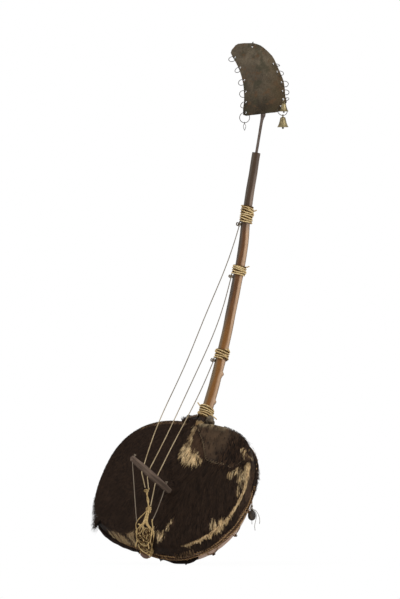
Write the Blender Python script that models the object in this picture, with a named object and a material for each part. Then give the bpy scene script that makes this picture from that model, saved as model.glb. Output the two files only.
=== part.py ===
"""Harp-lute: hide-covered half gourd, bent neck with sliding twine windings, three strings held apart by an upright
bridge, and an iron rattle plate with wire rings and two bells on the neck's end.

Metres, +Z up. The pieces are laid out along the instrument itself (x across the face, y from the face towards the
back of the bowl, z along the spike towards the neck) and hang from one empty that leans it back as it stands."""

from math import atan2, cos, exp, hypot, pi, radians, sin, sqrt

import bmesh
import bpy
from mathutils import Euler, Matrix, Vector

for old in list(bpy.data.objects):
    bpy.data.objects.remove(old, do_unlink=True)

# How the instrument stands: leaning back, rolled and turned, in degrees
LEAN, ROLL, TURN = -36.8, 6.1, -26.8
GAP = 0.0004

# Half gourd. The rim's plan is a round with a few slow waves: count, height and phase in degrees
RIM_R = 0.1902
RIM_CENTRE = (0.0013, 0.0073)
RIM_WAVES = ((2, 0.0068, -25), (3, 0.0023, 162), (4, 0.0081, 167), (5, 0.0021, -27), (6, 0.0011, -80))
SHELL_WALL = 0.006
BELLY_DEPTH = 0.040
BOWL_DEPTH = 0.155
RIM_TUCK = 0.012
AROUND = 36

# Hide, its hem and its lacing
HIDE = 0.0025
BAND_DEPTH = 0.0375
HEM_R = 0.0042
LACING_R = 0.0013
LACING_VEES = 16
LACING_DEPTH = 0.088
PATCH = 0.0014
PATCH_EDGE = (
    (0.012, 0.158), (0.034, 0.128), (0.058, 0.093), (0.074, 0.075), (0.100, 0.071), (0.126, 0.071),
    (0.148, 0.066), (0.164, 0.082), (0.166, 0.104), (0.150, 0.128), (0.126, 0.148), (0.094, 0.160),
    (0.052, 0.166),
)
SEAM_R = 0.0011

# Neck: one stick from the tail stub through the bowl to the rattle; its axis bends evenly between two lengths
NECK_TAIL_Z, NECK_TAIL_DEPTH = -0.199, 0.0175
NECK_LENGTH = 1.070
BEND_FROM, BEND_TO = 0.194, 0.744
BEND_FIRST, BEND_LAST = -2.0, 28.0
NECK_RADII = ((0.0, 0.0105), (0.20, 0.0122), (0.40, 0.0134), (0.50, 0.0129), (0.60, 0.0125), (0.72, 0.0121),
              (0.85, 0.0118), (0.90, 0.0108), (0.95, 0.0104), (1.070, 0.0101))
# Sideways bow: how far, at what length, and how long it takes to come and to go
NECK_BOW = (0.0060, 0.825, 0.160, 0.075)
TWIGS = ((0.527, 0.0055), (0.456, 0.0045))
NECK_SIDES = 14
ROD_BORE_R, ROD_BORE_DEEP = 0.0038, 0.045

# Twine windings: height along the spike, turns, pitch
TWINE_R = 0.0016
TUNING = ((0.677, 7, 0.0056), (0.558, 4, 0.0056), (0.370, 4, 0.0060))
BASE_WINDING = (0.2245, 5, 0.0058)
TAIL_WINDING = (-0.1895, 3, 0.0042)
LOOP_POINTS = 18

# Bridge: upright stick on the face. Shares of its height where the cords go through it
BRIDGE_FOOT = (0.0061, -0.0221)
BRIDGE_REACH = (-0.0361, -0.1645, -0.0254)
BRIDGE_WIDE, BRIDGE_THICK = 0.0104, 0.0066
BRIDGE_END_WIDE, BRIDGE_END_THICK = 0.0070, 0.0052
STRING_HOLES = (0.702, 0.552, 0.352)
TIE_HOLES = (0.945, 0.125)
HOLE_R = 0.0022

STRING_R = 0.00125
# The set each string has dried with: heights of sideways waves of one, two, three and four halves
STRING_SET = ((0.0034, 0.0045, -0.0008, 0.0020), (0.0144, 0.0030, 0.0015, 0.0), (0.0030, 0.0016, 0.0, 0.0))
KNOT_AT = 40
TIE_R = 0.0011
KNOT_UPPER = (-0.0095, -0.078, -0.076)
KNOT_LOWER = (0.0, -0.050, -0.108)
TAIL_CORD_R = 0.0018
LOOP_SHOULDER = (-0.0275, -0.0270, -0.1350)

# Rattle: iron sheet drawn across (from the rod) and along the rod, with its ring holes
ROD_LENGTH = 0.0950
ROD_R = 0.0034
PLATE = 0.0012
PLATE_EDGE = (
    (-0.112, 0.139), (-0.106, 0.153), (-0.096, 0.163), (-0.062, 0.168), (-0.045, 0.167), (-0.028, 0.161),
    (-0.001, 0.143), (0.012, 0.127), (0.024, 0.110), (0.039, 0.088), (0.047, 0.067), (0.052, 0.048),
    (0.058, 0.035), (0.050, 0.021), (0.041, 0.010), (0.019, 0.005), (-0.004, 0.000), (-0.032, -0.006),
    (-0.052, -0.007), (-0.055, 0.024), (-0.060, 0.050), (-0.067, 0.072), (-0.079, 0.096), (-0.094, 0.117),
)
RING_HOLE_R = 0.0022
RING_WIRE = 0.0008
TONGUE_WIDE, TONGUE_THICK, TONGUE_LONG = 0.0065, 0.0014, 0.052
RIVETS = (0.012, 0.038)
RIVET_R, RIVET_HEAD = 0.0020, 0.0042

# Rings: hole across and along the plate, ring radius, way it points (degrees, from across), tilt to the plate
RINGS = (
    ("ring_left_1", -0.0985, 0.1290, 0.0085, 214, 66),
    ("ring_left_2", -0.0805, 0.1060, 0.0080, 232, 74),
    ("ring_left_3", -0.0640, 0.0770, 0.0085, 228, 62),
    ("ring_left_4", -0.0548, 0.0494, 0.0088, 226, 42),
    ("ring_left_5", -0.0500, 0.0244, 0.0085, 238, 68),
    ("ring_right_1", 0.0060, 0.1240, 0.0085, -14, 70),
    ("ring_right_2", 0.0200, 0.1060, 0.0085, -24, 46),
    ("ring_right_3", 0.0360, 0.0820, 0.0092, -24, 40),
    ("ring_right_4", 0.0425, 0.0610, 0.0085, -18, 42),
    ("ring_top", -0.0574, 0.1600, 0.0055, 92, 74),
    ("link_ring", -0.0450, -0.0010, 0.0124, 262, 42),
)
LOW_RING = (0.0442, 0.0241, 0.0122, -60, 42)
HIGH_RING = (0.0479, 0.0415, 0.0085, 14, 0.0148, 50)
LINK_LONG, LINK_WIDE, LINK_WIRE = 0.0200, 0.0065, 0.0006

# Bells, drawn down from the wire they hang on: outer radius and drop, then inner
BELL_OUT = ((0.0030, 0.0040), (0.0056, 0.0050), (0.0070, 0.0088), (0.0083, 0.0148), (0.0100, 0.0208),
            (0.0124, 0.0258), (0.0135, 0.0284))
BELL_IN = ((0.0126, 0.0284), (0.0114, 0.0256), (0.0090, 0.0208), (0.0073, 0.0148), (0.0060, 0.0092),
           (0.0042, 0.0066), (0.0013, 0.0064), (0.0011, 0.0078))
BELL_LOOP_R, BELL_LOOP_WIRE = 0.0034, 0.0008
HIGH_BELL_SIZE = 0.82
CLAPPER_TOP, CLAPPER_DROP, CLAPPER_BALL, CLAPPER_ROD = 0.0086, 0.0303, 0.0026, 0.0007

PENDANT_DROP, PENDANT_R, PENDANT_HALF, PENDANT_THREAD = 0.0245, 0.0095, 0.0128, 0.024

stance = bpy.data.objects.new("stance", None)
bpy.context.scene.collection.objects.link(stance)
STAND = Euler((radians(LEAN), radians(ROLL), radians(TURN)), "XYZ").to_matrix()
PLUMB = STAND.transposed()
DOWN = PLUMB @ Vector((0, 0, -1))
RIGHT = PLUMB @ Vector((1, 0, 0))


def material(name, colour, rough, metal=0.0):
    made = bpy.data.materials.new(name)
    made.use_nodes = True
    shader = made.node_tree.nodes["Principled BSDF"]
    shader.inputs["Base Color"].default_value = (*colour, 1)
    shader.inputs["Roughness"].default_value = rough
    shader.inputs["Metallic"].default_value = metal
    return made


GOURD = material("gourd", (0.42, 0.24, 0.15), 0.55)
HAIR = material("hair_hide", (0.035, 0.024, 0.018), 0.8)
RAW_HIDE = material("worn_hide", (0.10, 0.06, 0.04), 0.75)
THONG = material("thong", (0.23, 0.13, 0.07), 0.7)
WOOD = material("neck_wood", (0.30, 0.13, 0.05), 0.5)
GREY_WOOD = material("grey_wood", (0.13, 0.10, 0.08), 0.7)
TWINE = material("twine", (0.46, 0.31, 0.13), 0.85)
STRING = material("string_cord", (0.50, 0.41, 0.27), 0.8)
DARK = material("dark_leather", (0.02, 0.02, 0.018), 0.6)
IRON = material("iron", (0.09, 0.07, 0.05), 0.6, 0.8)
WIRE = material("wire", (0.16, 0.14, 0.12), 0.45, 0.9)
BRASS = material("brass", (0.42, 0.31, 0.14), 0.35, 1.0)
NUT = material("nut", (0.03, 0.03, 0.03), 0.5)


def raw(name, points, faces, pivot=(0, 0, 0), turn=None):
    """An object whose points are given in its own frame: pivot and turn place that frame on the instrument."""
    mesh = bpy.data.meshes.new(name)
    mesh.from_pydata([tuple(p) for p in points], [], faces)
    work = bmesh.new()
    work.from_mesh(mesh)
    bmesh.ops.recalc_face_normals(work, faces=work.faces)
    if work.calc_volume(signed=True) < 0:
        bmesh.ops.reverse_faces(work, faces=work.faces)
    work.to_mesh(mesh)
    work.free()
    made = bpy.data.objects.new(name, mesh)
    bpy.context.scene.collection.objects.link(made)
    made.parent = stance
    made.matrix_local = Matrix.Translation(pivot) @ (turn or Matrix.Identity(3)).to_4x4()
    return made


def node(name, points, faces, look, pivot=(0, 0, 0), turn=None, smooth=True, inside=True):
    """A finished piece. With inside, its points are on the instrument and are moved into its own frame."""
    pivot = Vector(pivot)
    if inside:
        back = (turn or Matrix.Identity(3)).transposed()
        points = [back @ (Vector(p) - pivot) for p in points]
    made = raw(name, points, faces, pivot, turn)
    made.data.materials.append(look)
    for face in made.data.polygons:
        face.use_smooth = smooth
    return made


def cutter(name, points, faces, pivot=(0, 0, 0), turn=None):
    made = raw(name, points, faces, pivot, turn)
    made.hide_render = True
    made.display_type = "WIRE"
    return made


def cut(made, tool, how="DIFFERENCE"):
    step = made.modifiers.new(tool.name, "BOOLEAN")
    step.operation = how
    step.solver = "EXACT"
    step.object = tool


def rows(rings, first=None, last=None, closed=False):
    """Points and faces of a skin through rings of equal count, with poles or flat ends."""
    n = len(rings[0])
    points = [p for ring in rings for p in ring]
    faces = []
    for k in range(len(rings) if closed else len(rings) - 1):
        a, b = k * n, (k + 1) % len(rings) * n
        faces += [(a + i, a + (i + 1) % n, b + (i + 1) % n, b + i) for i in range(n)]
    if closed:
        return points, faces
    for pole, base in ((first, 0), (last, (len(rings) - 1) * n)):
        if pole is None:
            faces.append([base + i for i in range(n)])
        else:
            points.append(pole)
            faces += [(base + i, base + (i + 1) % n, len(points) - 1) for i in range(n)]
    return points, faces


def sweep(line, radius, sides=6, closed=False):
    """A tube along a line of points; radius is one number or one per point."""
    line = [Vector(p) for p in line]
    n = len(line)
    radii = radius if isinstance(radius, (list, tuple)) else [radius] * n
    along = []
    for i in range(n):
        before = line[i - 1] if closed or i else line[0]
        after = line[(i + 1) % n] if closed or i < n - 1 else line[-1]
        along.append((after - before).normalized())
    side = along[0].orthogonal().normalized()
    sides_at = [side]
    for i in range(1, n):
        side = along[i - 1].rotation_difference(along[i]) @ side
        side = (side - along[i] * side.dot(along[i])).normalized()
        sides_at.append(side)
    twist = 0.0
    if closed:
        end = along[-1].rotation_difference(along[0]) @ side
        up = along[0].cross(sides_at[0])
        twist = atan2(end.dot(up), end.dot(sides_at[0]))
    rings = []
    for i in range(n):
        up = along[i].cross(sides_at[i])
        turn = -twist * i / n
        ring = []
        for k in range(sides):
            t = 2 * pi * k / sides + turn
            ring.append(line[i] + (sides_at[i] * cos(t) + up * sin(t)) * radii[i])
        rings.append(ring)
    return rows(rings, closed=closed)


def eased(line, arm=0.006, steps=3):
    """A line of straight runs with each corner rounded over the arm's length."""
    line = [Vector(p) for p in line]
    out = [line[0]]
    for a, b, c in zip(line, line[1:], line[2:]):
        reach = min(arm, (a - b).length * 0.45, (c - b).length * 0.45)
        start, end = b + (a - b).normalized() * reach, b + (c - b).normalized() * reach
        for k in range(steps + 1):
            t = k / steps
            out.append(start * (1 - t) ** 2 + b * 2 * t * (1 - t) + end * t * t)
    return out + [line[-1]]


def smooth_loop(corners, steps):
    """A rounded closed line through corner points in a plane."""
    out = []
    n = len(corners)
    for i in range(n):
        a, b, c, d = (Vector(corners[(i + k) % n]) for k in (-1, 0, 1, 2))
        for k in range(steps):
            t = k / steps
            out.append(b + (c - a) * (t / 2) + (a * 2 - b * 5 + c * 4 - d) * (t * t / 2)
                       + (b * 3 - a - c * 3 + d) * (t ** 3 / 2))
    return out


def lathe(profile, around, first=None, last=None):
    """A skin turned about z from pairs of radius and height."""
    rings = []
    for r, z in profile:
        rings.append([Vector((r * cos(2 * pi * i / around), r * sin(2 * pi * i / around), z)) for i in range(around)])
    return rows(rings, first, last)


def lump(centre, wide, tall, along, around=10, bands=6):
    """A knot: a rounded lump with a twisted, uneven skin. wide is across, tall is along."""
    along = Vector(along).normalized()
    side = along.orthogonal().normalized()
    up = along.cross(side)
    centre = Vector(centre)
    rings = []
    for j in range(1, bands):
        lat = pi * j / bands
        ring = []
        for i in range(around):
            t = 2 * pi * i / around
            swell = 1 + 0.09 * cos(3 * t + 2.5 * lat)
            ring.append(centre + (side * cos(t) + up * sin(t)) * (wide * sin(lat) * swell) + along * (tall * cos(lat)))
        rings.append(ring)
    return rows(rings, centre + along * tall, centre - along * tall)


def least_gap(line, radius, skip):
    """How near a winding's turns come to each other, skin to skin."""
    best = 1.0
    for i, a in enumerate(line):
        for b in line[i + skip:]:
            best = min(best, (a - b).length)
    return best - 2 * radius


# The bowl's outer skin: radius round the rim's plan, and how it closes with depth
def plan(angle):
    return RIM_R + sum(high * cos(count * angle - radians(phase)) for count, high, phase in RIM_WAVES)


def narrowing(depth):
    if depth <= BELLY_DEPTH:
        return 1 - RIM_TUCK * ((BELLY_DEPTH - depth) / BELLY_DEPTH) ** 2
    return sqrt(max(0.0, 1 - ((depth - BELLY_DEPTH) / (BOWL_DEPTH - BELLY_DEPTH)) ** 2))


def bowl_point(angle, depth, out=0.0):
    """A point on the bowl's outer skin, moved off it by out."""
    step = 0.0005
    low = min(depth + step, BOWL_DEPTH - 1e-5)
    slope = plan(angle) * (narrowing(low) - narrowing(depth - step)) / (low - depth + step)
    size = hypot(1, slope)
    r = plan(angle) * narrowing(depth) + out / size
    return Vector((RIM_CENTRE[0] + r * cos(angle), depth - out * slope / size, RIM_CENTRE[1] + r * sin(angle)))


def bowl_ring(depth, out=0.0, flat=None):
    ring = [bowl_point(2 * pi * i / AROUND, depth, out) for i in range(AROUND)]
    if flat is not None:
        for p in ring:
            p.y = flat
    return ring


def face_ring(share, y, out=0.0):
    ring = []
    for i in range(AROUND):
        angle = 2 * pi * i / AROUND
        r = plan(angle) * (1 - RIM_TUCK) * share + out
        ring.append(Vector((RIM_CENTRE[0] + r * cos(angle), y, RIM_CENTRE[1] + r * sin(angle))))
    return ring


# The neck's axis: a table of points by length from the tail stub
STEP = 0.002


def bow(length):
    high, at, come, go = NECK_BOW
    return high * exp(-((length - at) / (come if length < at else go)) ** 2)


axis_line = [Vector((0, NECK_TAIL_DEPTH, NECK_TAIL_Z))]
axis_way = []
for k in range(int(NECK_LENGTH / STEP) + 1):
    share = min(1, max(0, ((k + 0.5) * STEP - BEND_FROM) / (BEND_TO - BEND_FROM)))
    bend = radians(BEND_FIRST + (BEND_LAST - BEND_FIRST) * share * share * (3 - 2 * share))
    aside = (bow((k + 1) * STEP) - bow(k * STEP)) / STEP
    axis_way.append(Vector((aside, -sin(bend), cos(bend))).normalized())
    axis_line.append(axis_line[-1] + axis_way[-1] * STEP)


def neck_at(length):
    """Centre, direction and front-facing normal of the neck at a length from the tail stub."""
    k = min(max(int(length / STEP), 0), len(axis_way) - 1)
    way = axis_way[k]
    return axis_line[k] + way * (length - k * STEP), way, Vector((0, -way.z, way.y)).normalized()


def neck_radius(length):
    for (a, ra), (b, rb) in zip(NECK_RADII, NECK_RADII[1:]):
        if length <= b:
            return ra + (rb - ra) * max(0, (length - a) / (b - a))
    return NECK_RADII[-1][1]


def length_at(z):
    """The neck's length where its axis reaches a height along the spike."""
    return STEP * min(range(len(axis_line)), key=lambda k: abs(axis_line[k].z - z))


def neck_rings(stations, extra=0.0):
    out = []
    for length in stations:
        centre, way, front = neck_at(length)
        ring = []
        for i in range(NECK_SIDES):
            t = 2 * pi * i / NECK_SIDES
            r = neck_radius(length) + extra
            if not extra:
                for at, high in TWIGS:
                    r += high * exp(-((length - at) / 0.005) ** 2 - ((min(t, 2 * pi - t)) / 0.30) ** 2)
            ring.append(centre + (Vector((1, 0, 0)) * cos(t) + front * sin(t)) * r)
        out.append(ring)
    return out


# Gourd shell and hide, both holed for the spike
depths = (0.0, 0.012, 0.030, 0.060, 0.088, 0.114, 0.136, 0.150)
outer = [bowl_ring(0.0, 0.0, 0.0)] + [bowl_ring(d) for d in depths[1:]]
inner = [bowl_ring(0.0, -SHELL_WALL, 0.0)] + [bowl_ring(d, -SHELL_WALL) for d in depths[1:]]
heart = Vector((RIM_CENTRE[0], 0, RIM_CENTRE[1]))
gourd = node("gourd_shell", *rows(outer[::-1] + inner, heart + Vector((0, BOWL_DEPTH, 0)),
                                  heart + Vector((0, BOWL_DEPTH - SHELL_WALL, 0))), GOURD)

TOP = -(GAP + HIDE)
band = (0.012, 0.030, BAND_DEPTH)
skin = [face_ring(share, TOP) for share in (0.4, 0.75, 0.95)]
skin += [face_ring(1.0, TOP, -0.0008), face_ring(1.0, TOP + 0.0014, GAP + HIDE - 0.0002)]
skin += [bowl_ring(d, GAP + HIDE) for d in (0.006,) + band]
skin += [bowl_ring(d, GAP) for d in band[::-1]] + [face_ring(1.0, -GAP, GAP), face_ring(0.6, -GAP)]
hide = node("hide_head", *rows(skin, heart + Vector((0, TOP, 0)), heart + Vector((0, -GAP, 0))), HAIR)

spike_span = [k * 0.02 for k in range(-1, 24)]
spike = cutter("spike_hole", *rows(neck_rings(spike_span, 0.0007)))
cut(gourd, spike)
cut(hide, spike)

# Patch: a flat piece on the face, and the thong along its inner edge
flat_edge = smooth_loop([(x, z) for x, z in PATCH_EDGE], 2)
sheet = [[Vector((p.x, y, p.y)) for p in flat_edge] for y in (TOP - 0.0003, TOP - 0.0003 - PATCH)]
node("hide_patch", *rows(sheet), RAW_HIDE, smooth=False)
seam_line = []
for k, (x, z) in enumerate(flat_edge[:15]):
    lift = 0.0008 * (k % 2)
    seam_line.append(Vector((x, TOP - 0.0006 - PATCH - SEAM_R - lift, z)))
node("patch_seam", *sweep(seam_line, SEAM_R, 6), THONG)

# Hem cord and the zigzag thong below it
hem = [bowl_point(2 * pi * i / 54, BAND_DEPTH + HEM_R + 0.0008, HEM_R + 0.0010) for i in range(54)]
node("hem_cord", *sweep(hem, HEM_R, 6, closed=True), THONG)
zigzag = []
per_vee = 6
for k in range(LACING_VEES * per_vee):
    share = abs((k % per_vee) / (per_vee / 2) - 1)
    depth = BAND_DEPTH + 2 * HEM_R + LACING_R + 0.0018 + (LACING_DEPTH - BAND_DEPTH - 0.006) * share
    zigzag.append(bowl_point(2 * pi * k / (LACING_VEES * per_vee), depth, LACING_R + 0.0009))
node("lacing", *sweep(zigzag, LACING_R, 5, closed=True), THONG)

# Neck, bored at its end for the rattle's rod
stations = {round(k * 0.04, 4) for k in range(int(NECK_LENGTH / 0.04) + 1)} | {NECK_LENGTH}
for at, high in TWIGS:
    stations |= {at - 0.009, at - 0.004, at, at + 0.004, at + 0.009}
neck = node("neck", *rows(neck_rings(sorted(stations))), WOOD)
neck_end, END_WAY, END_FRONT = neck_at(NECK_LENGTH)
END_TURN = Matrix((Vector((1, 0, 0)), -END_FRONT, END_WAY)).transposed()
bore = cutter("rod_bore", *lathe(((ROD_BORE_R, -ROD_BORE_DEEP), (ROD_BORE_R, 0.02)), 12), neck_end, END_TURN)
cut(neck, bore)


def winding(name, z, turns, pitch, spread=0.0007, start=0.0):
    """Twine round the neck, with uneven turns and straight ends. Returns its line and the length it is centred on."""
    middle = length_at(z)
    count = turns * LOOP_POINTS
    line = []
    for k in range(count + 1):
        t = k / LOOP_POINTS
        at = middle + pitch * (t - turns / 2) + spread * 0.6 * sin(2.1 * t + start)
        centre, way, front = neck_at(at)
        r = neck_radius(at) + 0.0006 + TWINE_R + spread * 0.4 * (1 + sin(1.7 * t * pi + start))
        angle = 2 * pi * t + start
        line.append(centre + (Vector((1, 0, 0)) * cos(angle) + front * sin(angle)) * r)
    reach = 2 * TWINE_R
    first, last = (line[0] - line[1]).normalized(), (line[-1] - line[-2]).normalized()
    line = [line[0] + first * reach] + line + [line[-1] + last * reach]
    print(f"{name}: least gap between turns {1000 * least_gap(line, TWINE_R, LOOP_POINTS // 2):.2f} mm")
    return line, middle


# Tuning windings with their knots; each slides along the neck on its own
knots = []
for k, (z, turns, pitch) in enumerate(TUNING, 1):
    line, middle = winding(f"tuning_lashing_{k}", z, turns, pitch, start=1.9 + k)
    centre, way, front = neck_at(middle)
    node(f"tuning_lashing_{k}", *sweep(line, TWINE_R, 6), TWINE, pivot=centre)
    low, low_way, low_front = neck_at(middle - turns * pitch / 2 - 0.0075)
    off = low_front * sin(radians(KNOT_AT)) - Vector((cos(radians(KNOT_AT)), 0, 0))
    at = low + off * (neck_radius(middle) + 0.0047)
    node(f"string_knot_{k}", *lump(at, 0.0042, 0.0050, low_way), TWINE, pivot=centre)
    knots.append((at, low_way))
line, middle = winding("base_lashing", *BASE_WINDING, start=0.6)
node("base_lashing", *sweep(line, TWINE_R, 6), TWINE)
line, middle = winding("tail_lashing", *TAIL_WINDING, spread=0.0004, start=2.4)
node("tail_lashing", *sweep(line, TWINE_R, 6), TWINE)

# Short cross stick and dark leather knots at the neck's foot
stick = [Vector((x, 0.0030, 0.2146 + 0.59 * x)) for x in (-0.0345, -0.0290, -0.0185, -0.0120)]
node("toggle_stick", *sweep(stick, [0.0022, 0.0030, 0.0029, 0.0022], 8), GREY_WOOD)
node("strap_knot_left", *lump((-0.0395, 0.0225, 0.2105), 0.0062, 0.0100, (1, 0, -0.15), 10, 6), DARK)
node("strap_knot_right", *lump((0.0220, 0.0110, 0.1992), 0.0082, 0.0105, (0.5, 0, -0.8), 10, 6), DARK)
strap = [Vector(p) for p in ((-0.0285, 0.0250, 0.2070), (-0.0200, 0.0330, 0.2050), (-0.0080, 0.0368, 0.2040),
                             (0.0040, 0.0368, 0.2035), (0.0150, 0.0335, 0.2025), (0.0205, 0.0285, 0.2010),
                             (0.0222, 0.0245, 0.2002))]
node("neck_strap", *sweep(strap, 0.0030, 6), DARK)

# Bridge: a whittled stick, widest at half height, its foot cut to lie flat on the face
foot = Vector((BRIDGE_FOOT[0], TOP - 0.0003, BRIDGE_FOOT[1]))
reach = Vector(BRIDGE_REACH)
rise = reach.normalized()
across = (Vector((0, 0, 1)) - rise * rise.z).normalized()
thick = rise.cross(across)


def bridge_half(share):
    swell = sin(pi * share) ** 0.8
    wide = BRIDGE_END_WIDE + (BRIDGE_WIDE - BRIDGE_END_WIDE) * swell
    return wide, BRIDGE_END_THICK + (BRIDGE_THICK - BRIDGE_END_THICK) * swell


body_rows = []
for share in (0.0, 0.08, 0.2, 0.35, 0.5, 0.65, 0.8, 0.92, 0.985, 1.0):
    wide, deep = bridge_half(min(share, 0.97))
    tuck = 0.72 if share == 1.0 else 1.0
    ring = []
    for i in range(12):
        t = 2 * pi * (i + 0.5) / 12
        ring.append(foot + reach * share + across * (wide * tuck * cos(t)) + thick * (deep * tuck * sin(t)))
    body_rows.append(ring)
for p in body_rows[0]:
    p += rise * ((foot.y - p.y) / rise.y)
bridge = node("bridge", *rows(body_rows), GREY_WOOD)
drill_points, drill_faces = [], []
for share in STRING_HOLES + TIE_HOLES:
    at = foot + reach * share
    points, faces = sweep([at - across * 0.02, at + across * 0.02], HOLE_R, 10)
    drill_faces += [[i + len(drill_points) for i in face] for face in faces]
    drill_points += points
cut(bridge, cutter("bridge_drill", drill_points, drill_faces))

# Tail knots, the doubled cord between them and the loop round the spike's stub
upper, lower = Vector(KNOT_UPPER), Vector(KNOT_LOWER)
fall = (lower - upper).normalized()
node("tail_knot_upper", *lump(upper, 0.0048, 0.0060, fall), TWINE)
node("tail_knot_lower", *lump(lower, 0.0058, 0.0066, fall), TWINE)
node("tail_cord", *sweep([upper + fall * 0.0066, (upper + lower) / 2 + Vector((0.0012, 0, 0)),
                          lower - fall * 0.0072], TAIL_CORD_R, 6), TWINE)
stub, stub_way, stub_front = neck_at(length_at(-0.1785))
hug = neck_radius(0.027) + 0.0010 + TAIL_CORD_R
tail = [lower + Vector((-0.0058, 0.0010, -0.0052)), Vector(LOOP_SHOULDER), Vector((-0.0185, -0.0110, -0.1790))]
tail += [stub + Vector((cos(t), sin(t), 0)) * hug for t in [radians(a) for a in range(190, -11, -20)]]
tail += [Vector((0.0165, -0.0110, -0.1790)), lower + Vector((0.0058, 0.0010, -0.0052))]
node("tail_loop", *sweep(eased(tail[:4], 0.010)[:-1] + tail[3:-2]
                         + eased(tail[-3:], 0.010)[1:], TAIL_CORD_R, 6), TWINE)


def hole_line(share):
    """Where a cord enters a bridge hole from the neck's side, its middle, and where it leaves."""
    at = foot + reach * share
    wide = bridge_half(share)[0]
    return at + across * (wide + 0.004), at, at - across * (wide + 0.002)


# Strings: from the knot on the winding, through the bridge, to the tail knots
ends = (upper + Vector((-0.0036, -0.0052, 0.0036)), upper + Vector((0.0042, -0.0030, 0.0046)),
        lower + Vector((0.0040, -0.0052, 0.0044)))
for k, share in enumerate(STRING_HOLES):
    at, way = knots[k]
    entry, middle, leave = hole_line(share)
    top = at - way * 0.0056
    line = []
    for j in range(13):
        t = j / 13
        line.append(top.lerp(entry, t) + RIGHT * sum(high * sin((n + 1) * pi * t)
                                                      for n, high in enumerate(STRING_SET[k])))
    line += eased([line[-1], entry, middle], 0.004)[1:]
    line += eased([middle, leave, ends[k]], 0.006)[1:]
    node(f"string_{k + 1}", *sweep(line, STRING_R, 6), STRING)

# Cords that stay the bridge's two ends, each with a stop knot on the neck's side
for name, share, end in (("bridge_tie_top", TIE_HOLES[0], Vector((-0.0314, -0.0260, -0.1346))),
                         ("bridge_tie_foot", TIE_HOLES[1], Vector((0.0130, -0.0365, -0.1330)))):
    entry, middle, leave = hole_line(share)
    knot = entry - across * 0.0012
    line = [knot + across * s for s in (0.0052, 0.0044, 0.0026, 0.0008, 0.0)]
    radii = [0.0010, 0.0026, 0.0031, 0.0024, TIE_R]
    rest = eased([middle, leave, leave.lerp(end, 0.5) + DOWN * 0.004, end], 0.006)
    node(name, *sweep(line + rest, radii + [TIE_R] * len(rest), 6), STRING)

# Rattle rod: round in the neck, forged to a tongue behind the plate
plate_at = neck_end + END_WAY * ROD_LENGTH
behind = PLATE / 2 + 0.0003 + TONGUE_THICK
sections = (
    (-ROD_LENGTH - ROD_BORE_DEEP + 0.004, ROD_R * 0.8, ROD_R * 0.8, 0.0), (-ROD_LENGTH, ROD_R, ROD_R, 0.0),
    (-0.045, ROD_R, ROD_R, 0.0), (-0.018, ROD_R * 1.15, ROD_R * 0.85, 0.0),
    (-0.010, 0.0048, 0.0020, 0.0012), (-0.004, TONGUE_WIDE, TONGUE_THICK, behind),
    (TONGUE_LONG - 0.008, TONGUE_WIDE * 0.9, TONGUE_THICK, behind),
    (TONGUE_LONG, TONGUE_WIDE * 0.4, TONGUE_THICK * 0.8, behind),
)
rod_rows = []
for along, wide, deep, y in sections:
    ring = []
    for i in range(10):
        t = 2 * pi * i / 10
        ring.append(Vector((wide * cos(t), y + deep * sin(t), along)))
    rod_rows.append(ring)
rod = node("rattle_rod", *rows(rod_rows), IRON, plate_at, END_TURN, inside=False)

# Rattle plate: sheet iron with a hole for each ring and two for the rivets
edge = smooth_loop(PLATE_EDGE, 2)
sheet = [[Vector((p.x, y, p.y)) for p in edge] for y in (PLATE / 2, -PLATE / 2)]
plate = node("rattle_plate", *rows(sheet), IRON, plate_at, END_TURN, smooth=False, inside=False)
holes = [(u, w, RING_HOLE_R) for _, u, w, *_ in RINGS]
holes += [(LOW_RING[0], LOW_RING[1], RING_HOLE_R), (HIGH_RING[0], HIGH_RING[1], RING_HOLE_R + 0.0004)]
holes += [(0.0, w, RIVET_R + 0.0004) for w in RIVETS]
punch_points, punch_faces = [], []
for u, w, r in holes:
    points, faces = sweep([Vector((u, -0.01, w)), Vector((u, 0.01, w))], r, 10)
    punch_faces += [[i + len(punch_points) for i in face] for face in faces]
    punch_points += points
punch = cutter("ring_punch", punch_points, punch_faces, plate_at, END_TURN)
cut(plate, punch)
cut(rod, punch)
front_head, back_head = PLATE / 2 + 0.0003, behind + TONGUE_THICK + 0.0003
for name, w in zip(("rivet_lower", "rivet_upper"), RIVETS):
    profile = ((RIVET_HEAD * 0.6, front_head + 0.0018), (RIVET_HEAD, front_head + 0.0008), (RIVET_HEAD, front_head),
               (RIVET_R, front_head), (RIVET_R, -back_head), (RIVET_HEAD, -back_head),
               (RIVET_HEAD * 0.7, -back_head - 0.0014))
    points, faces = lathe(profile, 10)
    turned = [Vector((p.x, -p.z, w + p.y)) for p in points]
    node(name, turned, faces, IRON, plate_at, END_TURN, inside=False)


def on_plate(u, w, y=0.0):
    """A point on the instrument from one across and along the plate."""
    return plate_at + END_TURN @ Vector((u, y, w))


def ring_axes(way, tilt):
    """A ring's two in-plane directions: the one it points along the plate, and the one tilted out of it."""
    a, b = radians(way), radians(tilt)
    first = END_TURN @ Vector((cos(a), 0, sin(a)))
    second = END_TURN @ Vector((sin(a) * cos(b), -sin(b), -cos(a) * cos(b)))
    return first, second


def ring_node(name, hole, centre, first, second, radius, around=16):
    points = []
    for k in range(around):
        t = 2 * pi * (k + 0.5) / around
        points.append(centre + (first * cos(t) + second * sin(t)) * radius)
    return node(name, *sweep(points, RING_WIRE, 6, closed=True), WIRE, pivot=hole)


def lowest(centre, first, second, radius):
    """The ring's lowest point, and the level direction of its wire there."""
    fall = first * DOWN.dot(first) + second * DOWN.dot(second)
    fall.normalize()
    level = first * -fall.dot(second) + second * fall.dot(first)
    return centre + fall * radius, level


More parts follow.
